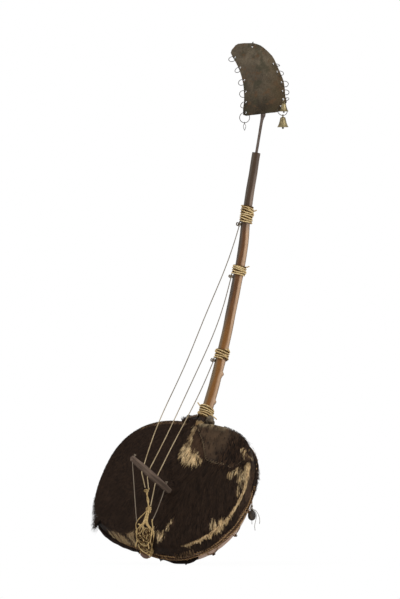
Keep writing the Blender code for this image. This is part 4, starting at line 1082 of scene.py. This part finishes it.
def bound(middle, turns, pitch, start, seed):
    """The lines of one winding: close under turns, then wavy ones over them, with a loose end."""
    twist = np.random.default_rng(seed)
    t = np.linspace(0, turns * 1.55, int(turns * 26))
    low = middle - turns * pitch / 2
    under = about_neck(low + turns * pitch * t / t[-1], 2 * pi * t + start,
                       0.0006 + TWINE_R + 0.0002 * np.sin(5 * t))
    t = np.linspace(0, turns, int(turns * 20))
    sway = 0.0017 * np.sin(2 * pi * t * 1.02 + start) + 0.0008 * np.sin(2 * pi * t * 2.3 + seed)
    over = about_neck(low + pitch * t + sway, 2 * pi * t + start + 2.2,
                      0.0004 + 2.2 * TWINE_R + 0.0005 * np.sin(9 * t + seed))
    t = np.linspace(0, 1, 9)
    slant = about_neck(low + turns * pitch * (0.1 + 0.8 * t), start + 1.0 + 3.6 * t,
                       0.0004 + 3.1 * TWINE_R * np.sin(pi * (0.2 + 0.6 * t)))
    end_at, end_turn = low + turns * pitch * twist.uniform(0.5, 1.0), twist.uniform(0, 6)
    loose = about_neck(end_at + np.array([0, 0.002, 0.004, 0.007]), end_turn + np.array([0, 0.4, 0.75, 0.95]),
                       np.array([0.004, 0.0062, 0.0088, 0.0130]))
    return [under, over, slant, loose]


knot_places = []
for k, (z, turns, pitch) in enumerate(TUNING, 1):
    middle = length_at(z)
    under, *over = bound(middle, turns, pitch, 1.9 + k, 60 + k)
    cords(f"twine_under_{k}", [under], TWINE_R, shade_twine, body=f"tuning_{k}", **UNDER_LAYER)
    cords(f"twine_winding_{k}", over, TWINE_R, twine, body=f"tuning_{k}", stands_for=[f"tuning_lashing_{k}"],
          slot="twine")
    low, way, front = neck_at(middle - turns * pitch / 2 - KNOT_BELOW)
    off = front * sin(TIE_TURN) - Vector((cos(TIE_TURN), 0, 0))
    at = low + off * (neck_radius(middle) + KNOT_OUT)
    tie = [low + way * 0.010 + off * (neck_radius(middle) + 0.0030), at + way * 0.0045, at]
    below = [at + way * 0.0010, at - way * 0.0030, at - way * 0.0068]
    cords(f"twine_knot_{k}", [knot(at, KNOTS[k - 1], way, 0.4 * k), tie, below], TWINE_R, knot_twine,
          body=f"tuning_{k}", stands_for=[f"string_knot_{k}"], slot="twine")
    knot_places.append((at, way))
middle = length_at(BASE_WINDING[0])
under, *lines = bound(middle, BASE_WINDING[1], BASE_WINDING[2], 0.6, 71)
cords("twine_base_under", [under], TWINE_R, shade_twine, **UNDER_LAYER)
t = np.linspace(0, 1, 11)
lines.append(about_neck(middle + 0.013 + 0.010 * np.sin(pi * t), 2.75 + 0.55 * t, 0.004 + 0.0105 * np.sin(pi * t)))
lines.append(about_neck(middle - 0.004 - 0.011 * t, 0.40 - 0.30 * t, 0.004 + 0.0190 * t))
cords("twine_base", lines, TWINE_R, twine, stands_for=["base_lashing"], slot="twine")

# Strap: a greasy dark leather thong round the back of the neck's foot, pulled into a rolled knot at each side.
# The right knot is rubbed pale, and two more turns of the thong run from the left knot to the neck's side.
STRAP = ((-0.0350, 0.0228, 0.2090), (-0.0285, 0.0250, 0.2070), (-0.0200, 0.0330, 0.2050), (-0.0080, 0.0368, 0.2040),
         (0.0040, 0.0368, 0.2035), (0.0150, 0.0335, 0.2025), (0.0205, 0.0285, 0.2010), (0.0222, 0.0215, 0.2002))
STRAP_TURN = ((-0.0365, 0.0222, 0.2106), (-0.0290, 0.0212, 0.2112), (-0.0205, 0.0205, 0.2120),
              (-0.0130, 0.0200, 0.2120))
LEATHER = dict(sides=8, step=0.0018, slot="dark_leather")


def leather_look(name, crease, skin, rubbed):
    """Thong leather: dark in its creases, paler where it is rubbed."""
    def colour(look):
        creased = look.mix(look.blots(0.38, 0.68, 210, 5, 0.65), crease, skin)
        return look.mix(look.blots(0.45, 0.7, 60, 4) * 0.6, creased, rubbed)

    return finish(name, colour, (0.42, 0.3, 120), (240, 5, 0.7), gloss=0.22, depth=0.0010)


old_leather = leather_look("old_leather", (0.0060, 0.0045, 0.0040), (0.026, 0.020, 0.017), (0.050, 0.036, 0.028))
rubbed_leather = leather_look("rubbed_leather", (0.032, 0.024, 0.016), (0.140, 0.104, 0.064), (0.27, 0.215, 0.145))


def wad(at, radius, half, way, seed):
    """Two rolled turns of thong pulled into a knot."""
    way = Vector(way).normalized()
    one = way.orthogonal().normalized()
    two = way.cross(one)
    turns = [Vector(at) + way * float(half * 0.62 * cos(a / 3.3 + 0.3))
             + (one * cos(a + seed) + two * sin(a + seed)) * (radius * 0.56) for a in np.linspace(0, 3.3 * pi, 26)]
    return [turns, knot(at, radius * 0.80, way, seed)]


cords("strap_left", wad((-0.0395, 0.0225, 0.2105), 0.0062, 0.0100, (1, 0, -0.15), 1.0), 0.0030, old_leather,
      lay=0.030, roundness=0.82, stands_for=["strap_knot_left"], **LEATHER)
cords("strap_right", wad((0.0232, 0.0105, 0.1990), 0.0102, 0.0118, (0.5, 0, -0.8), 2.2), 0.0050, rubbed_leather,
      lay=0.034, roundness=0.82, stands_for=["strap_knot_right"], **LEATHER)
lines = [STRAP] + [[(x, y, z - low) for x, y, z in STRAP_TURN] for low in (0.0, 0.0042)]
cords("strap_thong", lines, 0.0034, old_leather, lay=0.026, roundness=0.8, stands_for=["neck_strap"], **LEATHER)

# Bridge and toggle: whittled sticks of pale wood gone grey, split along the grain, dark in the cracks.
# The bridge stands on the hide by its foot, held up only by the strings and stays that pass through its holes.
BRIDGE_FOOT, BRIDGE_REACH = Vector((0.0061, -0.0032, -0.0221)), Vector((-0.0361, -0.1645, -0.0254))
BRIDGE_HALF, BRIDGE_SWELL = 0.0070, 0.0034
RISE = BRIDGE_REACH.normalized()
ACROSS = (Vector((0, 0, 1)) - RISE * RISE.z).normalized()


def dry_wood(name, along):
    """Grey wood with its grain along a direction of the instrument."""
    long_way = STAND @ Vector(along).normalized()
    one = long_way.orthogonal().normalized()
    turned = Matrix((long_way, one, long_way.cross(one))).to_euler()

    def place(look):
        return look.node("Mapping", None, Vector=look.node("TexCoord", None, "Object"), Rotation=turned)

    def colour(look):
        streak = look.between(look.grain((9, 130, 130), 1.6, 6, 0.7, place(look)), 0.36, 0.66)
        crack = look.between(look.grain((14, 420, 420), 1.2, 5, 0.7, place(look)), 0.54, 0.72)
        grey = look.mix(streak, (0.160, 0.112, 0.082), (0.058, 0.039, 0.029))
        return look.mix(crack * 0.85, grey, (0.022, 0.014, 0.011))

    def splits(look):
        return look.grain((12, 330, 330), 1.4, 6, 0.7, place(look))

    return finish(name, colour, 0.74, splits, gloss=0.2, depth=0.0009)


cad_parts["bridge"].data.materials[0] = dry_wood("bridge_wood", BRIDGE_REACH)
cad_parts["toggle_stick"].data.materials[0] = dry_wood("toggle_wood", (1, 0, 0.59))

# Tail: the strings' lower ends are knotted together, and doubled twine goes on from there round the spike's stub.
# Many turns have been added over the years, pale ones over darker ones, so the stub is buried in a tangle of loops
# and loose ends. The darker twine is partly stained and partly painted shade for the depths of the tangle.
UPPER, LOWER = Vector((-0.0095, -0.078, -0.076)), Vector((0.0, -0.050, -0.108))
TAIL_R = 0.0014
FALL = (LOWER - UPPER).normalized()
tail_draws = np.random.default_rng(77)
tail_twine = cord_look("tail_twine", (0.090, 0.042, 0.012), (0.66, 0.405, 0.145), (1.0, 0.80, 0.42))
# partly stain, partly painted shade: dark twine for the shadowed depths of the tangle
stain_and_shade_twine = cord_look("stain_and_shade_twine", (0.010, 0.005, 0.002), (0.056, 0.027, 0.009), (0.17, 0.092, 0.034))
WAIST = Vector((-0.0055, -0.0310, -0.1375))
SHOULDERS = Vector((-0.0234, -0.0220, -0.1570)), Vector((0.0178, -0.0220, -0.1516))
STUB_SIDES = Vector((-0.0185, -0.0110, -0.1790)), Vector((0.0165, -0.0110, -0.1790))
STAY_ENDS = Vector((-0.0314, -0.0260, -0.1346)), Vector((0.0130, -0.0365, -0.1330))
STUB = length_at(-0.1785)


def by(place, x, y, z):
    """A place so far from another."""
    return place + Vector((x, y, z))


def tied(name, lines, look, *stands_for):
    """Twine of the tail along those lines."""
    cords(name, lines, TAIL_R, look, stands_for=stands_for, slot="twine")


loose = [by(UPPER, 0.002, 0, 0), by(UPPER, 0.006, -0.003, 0.004), by(UPPER, 0.008, -0.006, 0.001)]
tied("tail_knot_top", [knot(UPPER, 0.0062, FALL), loose], tail_twine, "tail_knot_upper")
second = knot(LOWER + FALL * 0.004, 0.0060, (1, 0.2, 0.3), 1.2)
tied("tail_knot_low", [knot(LOWER, 0.0074, FALL, 0.5), second], tail_twine, "tail_knot_lower")
lines = [[by(UPPER.lerp(LOWER, s), 0.0016 * cos(7 * s + phase), 0, 0.0016 * sin(7 * s + phase))
          for s in np.linspace(0, 1, 8)] for phase in (0.0, pi)]
tied("tail_pair", lines, tail_twine, "tail_cord")
lines = []
for k in range(6):
    spread, odd = 0.50 + 0.11 * k, k % 2
    jog = [Vector(tail_draws.normal(0, 0.0014, 3)) for _ in range(4)]
    near = [by(LOWER, 0.002 * side, 0.001 - 0.002 * odd, -0.004) for side in (-1, 1)]
    waist = [by(WAIST, 0.0011 * side * (k + 0.5), 0.0026 - 0.0030 * odd, 0.0015 * odd) for side in (-1, 1)]
    over = [WAIST.lerp(shoulder, spread) for shoulder in SHOULDERS]
    under = [Vector((-0.0200 * spread - 0.002, -0.0135, -0.168)), Vector((0.0185 * spread + 0.002, -0.0135, -0.168))]
    hug = about_neck(STUB - 0.002 * (k - 2.5), np.radians(np.linspace(165, 375, 9)), 0.0022 + 0.0004 * odd)
    lines.append([near[0], waist[0], over[0] + jog[0], under[0] + jog[1], *map(Vector, hug),
                  under[1] + jog[2], over[1] + jog[3], waist[1], near[1]])
starts = by(LOWER, -0.002, 0, -0.003), by(STAY_ENDS[1], 0.001, -0.002, 0.004)
for start, tie, shoulder, side in zip(starts, STAY_ENDS, SHOULDERS, STUB_SIDES):
    lines.append([start, tie, shoulder, by(shoulder.lerp(side, 0.5), 0, -0.003, 0), side])
tied("tail_loops", lines[1:6:2] + lines[6:], tail_twine, "tail_loop")
tied("tail_loops_shaded", lines[:6:2], stain_and_shade_twine)
t = np.linspace(0, 1, 90)
round_stub = about_neck(0.0245 - 0.021 * t, 2 * pi * 5 * t + 1.0, 0.0034 + 0.0010 * np.sin(19 * t))
lines = [list(map(Vector, round_stub))]
# turns thrown across the loops, most of them from the upper left to the lower right
HEART = np.transpose(((-0.0070, -0.0300, -0.1390), (-0.0030, -0.0165, -0.1660), (-0.0010, -0.0020, -0.1830),
                      (0.0, 0.0100, -0.1920)))
for k, share in enumerate((0.22, 0.40, 0.48, 0.55, 0.61, 0.67, 0.73, 0.79, 0.85, 0.90, 0.95, 1.0)):
    centre, ahead = (Vector([np.interp(at, (0, 0.5, 0.8, 1), row) for row in HEART]) for at in (share, share + 0.02))
    down = Vector((0, ahead.y - centre.y, ahead.z - centre.z)).normalized()
    front = Vector((0, down.z, -down.y))
    wide = np.interp(share, (0, 0.3, 0.7, 1), (0.0180, 0.0165, 0.0150, 0.0135)) * tail_draws.uniform(0.88, 1.06)
    thick = np.interp(share, (0, 0.5, 0.8, 1), (0.0050, 0.0065, 0.0100, 0.0135)) * tail_draws.uniform(0.95, 1.15)
    tilt = tail_draws.uniform(0.004, 0.014) * (-0.8 if k % 3 == 2 else 1)
    lines.append([by(centre, wide * cos(a), 0, 0) + front * (thick * sin(a))
                  + down * (tilt * cos(a) + 0.0022 * sin(2.4 * a + 1.7 * k))
                  for a in np.linspace(-0.5, 2 * pi + 0.3, 22)])
# loops that have come loose
for k in range(6):
    centre = Vector((tail_draws.uniform(-0.015, 0.011), 0, tail_draws.uniform(-0.174, -0.154)))
    centre.y = -0.012 - 0.55 * (centre.z + 0.174) - 0.006
    one, two = Vector((1, 0, 0)), Vector((0, -0.45, 0.89))
    wide, tall, begin = (tail_draws.uniform(*sizes) for sizes in ((0.003, 0.007), (0.006, 0.012), (0, 6)))
    lines.append([centre + one * (wide * cos(begin + a)) + two * (tall * sin(begin + a))
                  + one.cross(two) * (0.003 * sin(2 * a + k)) for a in np.linspace(0, 5.2, 14)])
# loose ends, one at each side
for start_x, end_x in ((-0.011, -0.017), (0.010, 0.016)):
    lines.append([Vector((start_x, -0.012, -0.168)), Vector((start_x * 1.3, -0.016, -0.178)),
                  Vector((end_x, -0.012, -0.187)), Vector((end_x * 1.1, -0.006, -0.193))])
shaded_ones = lines[2:13:3] + lines[3:13:3] + lines[13:19:2]
tied("tail_tangle", [line for line in lines if line not in shaded_ones], tail_twine, "tail_lashing")
tied("tail_tangle_shaded", shaded_ones, stain_and_shade_twine)

# Strings: three lengths of twisted cord, each from its winding's knot through the bridge down to the tail knots.
# They are drawn tight, but keep a little of the set that they dried with.
STRING_R, STRING_TOP, STRING_HOLES = 0.00125, 0.0056, (0.702, 0.552, 0.352)
STRING_SET = ((0.0034, 0.0045, -0.0008, 0.0020), (0.0144, 0.0030, 0.0015, 0.0), (0.0030, 0.0016, 0.0, 0.0))
RIGHT = STAND.transposed() @ Vector((1, 0, 0))
RIM_TOP = float(leant([tuple(bare_hide(np.array(1.9), np.array(0.0)))])[0][2])


def string_colour(look):
    """One cord, pale and golden over the hide, painted greyer and darker above the rim as painted shade."""
    high = look.node("SeparateXYZ", None, "Z", Vector=look.node("TexCoord", None, "Object"))
    low_part = cord_colour((0.26, 0.175, 0.085), (0.54, 0.415, 0.245), (0.76, 0.630, 0.420))(look)
    shaded_high_part = cord_colour((0.125, 0.100, 0.070), (0.215, 0.180, 0.130), (0.320, 0.275, 0.205))(look)
    # painted shade: the cord is greyer and darker above the rim
    return look.mix(look.between(high, RIM_TOP - 0.05, RIM_TOP + 0.10), low_part, shaded_high_part)


string_twist = finish("string_twist", string_colour, 0.72, fibres, gloss=0.1, depth=0.0004)


def hole_line(share):
    """Where a cord enters a bridge hole from the neck's side, its middle, and where it leaves."""
    at = BRIDGE_FOOT + BRIDGE_REACH * share
    wide = BRIDGE_HALF + BRIDGE_SWELL * sin(pi * share) ** 0.8
    return at + ACROSS * (wide + 0.004), at, at - ACROSS * (wide + 0.002)


def taut_cord(name, line, radius, look, stands_for, bodies=None, **facts):
    """A stretched cord; one that is tied to a winding is left out of the instrument's body."""
    path = leant(smooth_line(line, 0.004))
    made = cords(name, [line], radius, look, lay=0.006, step=0.0011, roundness=0.86,
                 body=None if bodies else "instrument", stands_for=[stands_for], slot="string_cord")
    if bodies:
        tuple(leant([bodies[1]])[0])
        tuple(leant([bodies[2]])[0])
        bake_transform(made)
    tuple(path[0])
    round(float(run_of(path)[-1]), 3)
    [tuple(q) for q in path]


ends = by(UPPER, -0.0036, -0.0052, 0.0036), by(UPPER, 0.0042, -0.0030, 0.0046), by(LOWER, 0.0040, -0.0052, 0.0044)
for k, share in enumerate(STRING_HOLES):
    (at, way), (entry, middle, leave) = knot_places[k], hole_line(share)
    top = at - way * STRING_TOP
    line = []
    for t in np.linspace(0, 1, 26)[:-1]:
        aside = sum(high * sin((n + 1) * pi * t) for n, high in enumerate(STRING_SET[k]))
        line.append(top.lerp(entry, float(t)) + RIGHT * aside)
    line += [entry, middle, leave, leave.lerp(ends[k], 0.33), leave.lerp(ends[k], 0.66), ends[k]]
    taut_cord(f"string_line_{k + 1}", line, STRING_R, string_twist, f"string_{k + 1}",
              (f"tuning_{k + 1}", entry, top), far_end="object")

# Stays: two thinner cords hold the bridge's head and foot down to the tail, each with a stop knot above its hole.
# They are twisted like the strings, grey with dust, and sag a little on their way to the tail.
TIE_R, STOP_KNOT, STOP_R, SAG = 0.0011, 0.0030, 0.0010, 0.016
stay_cord = cord_look("stay_cord", (0.105, 0.080, 0.058), (0.290, 0.230, 0.170), (0.450, 0.375, 0.285))
for name, share, end in (("top", 0.945, STAY_ENDS[0]), ("foot", 0.125, STAY_ENDS[1])):
    entry, middle, leave = hole_line(share)
    stop = entry - ACROSS * 0.0012
    line = [stop + ACROSS * 0.003, stop, middle, leave]
    line += [leave.lerp(end, s) + DOWN * (SAG * s * (1 - s)) for s in (0.25, 0.5, 0.75, 1.0)]
    taut_cord(f"stay_{name}", line, TIE_R, stay_cord, f"bridge_tie_{name}", far_end="object")
    cords(f"stay_stop_{name}", [knot(stop + ACROSS * 0.0022, STOP_KNOT, ACROSS)], STOP_R, stay_cord, lay=0.005,
          slot="string_cord")

# Rattle: a sheet of iron cut from scrap, riveted to a forged rod that is driven into the neck's end.
# It is brown with old rust and handling, in blots, and painted lighter towards its top and darker towards the rod,
# as light falls from above. Its rivets and the bells' clappers are of the same iron; the forged rod is greyer.
PLATE_LOW, PLATE_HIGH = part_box("rattle_plate")


def rust_colour(look):
    patches = look.blots(0.41, 0.59, 26, 6, 0.62)
    fine = look.blots(0.42, 0.70, 170, 6, 0.7)
    place = look.node("TexCoord", None, "Object")
    height = look.node("SeparateXYZ", None, "Z", Vector=place)
    # painted light: the iron is painted lighter towards the plate's top and darker towards the rod
    lit_top = look.between(height + 0.05 * look.spots(14, 4), PLATE_LOW.z, PLATE_HIGH.z)
    side = look.node("SeparateXYZ", None, "X", Vector=place)
    right = look.between(side + 0.03 * look.spots(22, 4), 0.35 * PLATE_LOW.x + 0.65 * PLATE_HIGH.x,
                         PLATE_HIGH.x + 0.01)
    brown = look.mix(patches, look.mix(lit_top, (0.020, 0.0145, 0.0085), (0.106, 0.082, 0.055)),
                     look.mix(lit_top, (0.042, 0.030, 0.0170), (0.152, 0.120, 0.080)))
    brown = look.mix(fine * 0.5, brown, look.mix(lit_top, (0.018, 0.014, 0.009), (0.045, 0.036, 0.026)))
    brown = look.mix(look.blots(0.50, 0.62, 33, 5, 0.6) * 0.60, brown, (0.040, 0.038, 0.021))
    brown = look.mix(right * 0.7, brown, (0.088, 0.058, 0.028))
    return look.mix(look.blots(0.52, 0.64, 64, 5, 0.65) * 0.6, brown, (0.105, 0.056, 0.026))


old_iron = finish("old_iron", rust_colour, (0.55, 0.25, 90), (240, 6, 0.7), metal=0.15, gloss=0.14, depth=0.0007)
for name in ("rattle_plate", "rivet_lower", "rivet_upper", "clapper_low", "clapper_high"):
    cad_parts[name].data.materials[0] = old_iron


def rod_colour(look):
    return look.mix(look.blots(0.38, 0.66, 150, 6, 0.7), (0.135, 0.104, 0.086), (0.052, 0.037, 0.030))


forged_iron = finish("forged_iron", rod_colour, 0.55, (240, 6, 0.7), metal=0.15, gloss=0.2, depth=0.0007)
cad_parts["rattle_rod"].data.materials[0] = forged_iron

# Rings: short lengths of drawn iron wire bent round through the plate's holes, their cut ends side by side.
# Two of them carry the bells, and the lowest on the left carries a long link of thinner wire with a twist in it.
RING_WIRE, LINK_WIRE, ROD_LENGTH, RING_LAP = 0.0008, 0.0006, 0.0950, 0.30
BARE_WIRE = dict(lay=1.0, roundness=1.0)
# name, place of its hole across and up the plate, radius, the way it hangs in the plate's plane, its turn out of it
RINGS = (
    ("ring_left_1", -0.0985, 0.1290, 0.0085, 214, 66), ("ring_left_2", -0.0805, 0.1060, 0.0080, 232, 74),
    ("ring_left_3", -0.0640, 0.0770, 0.0085, 228, 62), ("ring_left_4", -0.0548, 0.0494, 0.0088, 226, 42),
    ("ring_left_5", -0.0500, 0.0244, 0.0085, 238, 68), ("ring_right_1", 0.0060, 0.1240, 0.0085, -14, 70),
    ("ring_right_2", 0.0200, 0.1060, 0.0085, -24, 46), ("ring_right_3", 0.0360, 0.0820, 0.0092, -24, 40),
    ("ring_right_4", 0.0425, 0.0610, 0.0085, -18, 42), ("ring_top", -0.0574, 0.1600, 0.0055, 92, 74),
    ("link_ring", -0.0450, -0.0010, 0.0124, 262, 42), ("bell_ring_low", 0.0442, 0.0241, 0.0122, -60, 42),
)
# the upper bell's ring crosses the plate's plane at its hole and again a chord, its fifth value, further out
HIGH_RING = (0.0479, 0.0415, 0.0085, 14, 0.0148, 50)
LAPPED_BEHIND = "ring_right_1", "ring_right_2"
LINK_HALF, LINK_LONG, LINK_TWIST = 0.00325, 0.020, radians(75)
neck_end, END_WAY, END_FRONT = neck_at(NECK_LENGTH)
END_TURN = Matrix((Vector((1, 0, 0)), -END_FRONT, END_WAY)).transposed()
plate_at = neck_end + END_WAY * ROD_LENGTH


def wire_colour(look):
    return look.mix(look.blots(0.40, 0.66, 150, 5), (0.075, 0.062, 0.048), (0.030, 0.023, 0.017))


dull_wire = finish("dull_wire", wire_colour, (0.36, 0.3, 200), metal=0.75, gloss=0.5)
hung = {}
for name, u, w, radius, way, tilt in RINGS + (("bell_ring_high", *HIGH_RING[:4], HIGH_RING[5]),):
    a, b = radians(way), radians(tilt)
    first = END_TURN @ Vector((cos(a), 0, sin(a)))
    second = END_TURN @ Vector((sin(a) * cos(b), -sin(b), -cos(a) * cos(b)))
    centre = plate_at + END_TURN @ Vector((u, 0, w)) + first * radius
    begin = 0.35
    if name == "bell_ring_high":
        chord = HIGH_RING[4]
        centre += first * (chord / 2 - radius) + second * (radius ** 2 - chord ** 2 / 4) ** 0.5
        begin = -1.9
    # the lapped ends lie on the side that swings away from the plate
    beside = first.cross(second) * (-1 if name in LAPPED_BEHIND else 1)
    line = []
    for t in np.linspace(begin, begin + 2 * pi + RING_LAP, 40):
        lapped = 0.99 * RING_WIRE if t - begin > 2 * pi - 0.5 else 0.0
        line.append(centre + (first * cos(t) + second * sin(t)) * radius + beside * lapped)
    cords(name + "_wire", [line], RING_WIRE, dull_wire, sides=8, step=0.0010, body=name, stands_for=[name], slot="wire",
          **BARE_WIRE)
    fall = (first * DOWN.dot(first) + second * DOWN.dot(second)).normalized()
    hung[name] = centre + fall * radius, first * -fall.dot(second) + second * fall.dot(first)


def plumb(name):
    """Where a piece hangs on a ring, and the turn from its own upright axes to the instrument's."""
    pivot, level = hung[name]
    return pivot, Matrix((level, (-DOWN).cross(level), -DOWN)).transposed()


pivot, turned = plumb("link_ring")
line = []
for t in np.linspace(0, 2 * pi, 41):
    drop = 0.5 - 0.5 * sin(t)
    half = LINK_HALF * cos(t) * (1.0 if drop < 0.6 else 1.0 - 0.6 * (drop - 0.6) / 0.4)
    twist = LINK_TWIST * min(1, max(0, (drop - 0.15) / 0.25))
    line.append(pivot + turned @ Vector((half * sin(twist), half * cos(twist), 0.0017 - LINK_LONG * drop)))
cords("drop_link_wire", [line], LINK_WIRE, dull_wire, step=0.0009, body="drop_link", stands_for=["drop_link"],
      slot="wire", **BARE_WIRE)

# Bells: two small cast brass bells with a loop on the crown, dull brown in the hollows and bright where they rub.
# Each hangs by its loop on a ring of the plate; the upper one is smaller.
BELL_SIDES, BELL_TOP, LOOP_R, LOOP_WIRE = 40, 0.0040, 0.0034, 0.0009
# radius and depth under the ring, down the outside of the bell and up its inside
BELL = ((0.0030, 0.0040), (0.0047, 0.0043), (0.0058, 0.0052), (0.0065, 0.0070), (0.0070, 0.0092), (0.0076, 0.0120),
        (0.0083, 0.0150), (0.0091, 0.0180), (0.0101, 0.0210), (0.0113, 0.0238), (0.0125, 0.0260), (0.0133, 0.0272),
        (0.0137, 0.0279), (0.0135, 0.0284), (0.0127, 0.0284), (0.0114, 0.0256), (0.0090, 0.0208), (0.0073, 0.0148),
        (0.0060, 0.0092), (0.0042, 0.0066), (0.0013, 0.0064))


def brass_colour(look):
    tarnish = look.blots(0.40, 0.68, 120, 6, 0.65)
    gold = look.mix(tarnish, (0.255, 0.205, 0.105), (0.095, 0.073, 0.036))
    return look.mix(look.blots(0.55, 0.75, 420, 5) * 0.6, gold, (0.055, 0.040, 0.022))


old_brass = finish("old_brass", brass_colour, (0.30, 0.25, 160), (500, 4), metal=0.9, depth=0.0003)
for name, size in (("low", 1.0), ("high", 0.82)):
    pivot, turned = plumb("bell_ring_" + name)
    points = []
    for r, z in BELL:
        for i in range(BELL_SIDES):
            t = 2 * pi * i / BELL_SIDES
            wavy = r * size * (1 + 0.006 * sin(3 * t + 40 * z))
            points.append(pivot + turned @ Vector((wavy * cos(t), wavy * sin(t), -BELL_TOP - (z - BELL_TOP) * size)))
    crown, inside = tuple(range(BELL_SIDES)), tuple(range(len(points) - BELL_SIDES, len(points)))
    faces = quilt(len(BELL), BELL_SIDES) + [crown, inside[::-1]]
    piece(f"bell_{name}_cup", points, faces, old_brass, body=f"bell_{name}", stands_for=[f"bell_{name}"], slot="brass")
    loop = [pivot + turned @ Vector((0, LOOP_R * cos(t), -0.0014 + LOOP_R * sin(t)))
            for t in np.linspace(-1.4, 4.54, 26)]
    cords(f"bell_{name}_loop", [loop], LOOP_WIRE, old_brass, sides=8, step=0.0008, body=f"bell_{name}", slot="brass",
          **BARE_WIRE)

# Pendant: a dark seed or nut bored through and hung on a doubled thread from the hem, with the thread's ends below it.
# Its shell is hard, lumpy and a little shiny; the thread is knotted under the hem and above the nut.
PENDANT_DROP, PENDANT_R, PENDANT_HALF, PENDANT_THREAD = 0.0245, 0.0095, 0.0128, 0.024
NUT_ROWS, NUT_SIDES, THREAD_R, ENDS_R = 17, 28, 0.0012, 0.0007
hook = Vector(bowl_point(radians(-2.4), BAND_DEPTH + 0.0048, 0.0124))
level = DOWN.cross(Vector((1, 0, 0))).normalized()
turned = Matrix((level, (-DOWN).cross(level), -DOWN)).transposed()


def hang(x, y, z):
    return hook + turned @ Vector((x, y, z))


top_end, low_end = -PENDANT_DROP + PENDANT_HALF, -PENDANT_DROP - PENDANT_HALF
lines = [
    [hang(0.0004, 0.0006, 0.0015), hang(0.0008, 0, -0.004), hang(0.0006, 0, -0.009), hang(0, 0, top_end - 0.001)],
    [hang(-0.0008, 0.0004, 0.0010), hang(-0.0012, 0, -0.004), hang(-0.0006, 0, -0.009), hang(0, 0, top_end - 0.001)],
    knot(hang(0, 0, top_end + 0.0016), 0.0032, -DOWN), knot(hang(0, 0, -0.0035), 0.0028, -DOWN, 1.0),
]
cords("pendant_string", lines, THREAD_R, knot_twine, lay=0.006, sides=6, body="pendant", stands_for=["pendant_cord"],
      slot="thong")
points = []
for k in range(1, NUT_ROWS + 1):
    a = pi * k / (NUT_ROWS + 1)
    for i in range(NUT_SIDES):
        t = 2 * pi * i / NUT_SIDES
        lumps = 1 + 0.035 * sin(7 * t + 2 * a) * sin(a) + 0.02 * sin(3 * t + 5 * a)
        r = PENDANT_R * sin(a) * (1 - 0.09 * cos(a)) * lumps
        points.append(hang(r * cos(t), r * sin(t), PENDANT_HALF * cos(a) - PENDANT_DROP))
points += [hang(0, 0, top_end), hang(0, 0, low_end)]


def nut_colour(look):
    return look.mix(look.blots(0.4, 0.68, 130, 5), (0.016, 0.012, 0.009), (0.078, 0.054, 0.036))


nutshell = finish("nutshell", nut_colour, (0.34, 0.3, 160), (330, 5, 0.65), gloss=0.3, depth=0.0008)
piece("pendant_nut", points, closed_skin(NUT_ROWS, NUT_SIDES), nutshell, body="pendant", stands_for=["pendant_bead"],
      slot="nut")
right = turned.transposed() @ RIGHT
right = Vector((right.x, right.y, 0)).normalized() * (PENDANT_R + 0.0012)
thread_end = low_end - PENDANT_THREAD


def beside_nut(off, z):
    """A place to the right of the nut's middle, off by so many of its radii, at a height."""
    return hang(right.x * off, right.y * off, z)


lines = [
    [hang(0, 0, top_end + 0.001), beside_nut(0.6, top_end - 0.002), beside_nut(1, -PENDANT_DROP),
     beside_nut(0.8, low_end - 0.002), beside_nut(0.62, thread_end * 0.5 + low_end * 0.5), beside_nut(0.7, thread_end)],
    [hang(0.0003, 0.0003, top_end + 0.001), beside_nut(0.8, top_end - 0.001), beside_nut(1.5, -PENDANT_DROP),
     beside_nut(1.75, low_end), beside_nut(1.65, low_end - 0.008)],
    [hang(0, 0, low_end + 0.001), hang(0.0006, 0.0004, low_end - 0.005), hang(-0.0004, 0, low_end - 0.009)],
]
cords("pendant_ends", lines, ENDS_R, sinew, lay=0.004, sides=6, body="pendant", stands_for=["pendant_thread"],
      slot="thong")
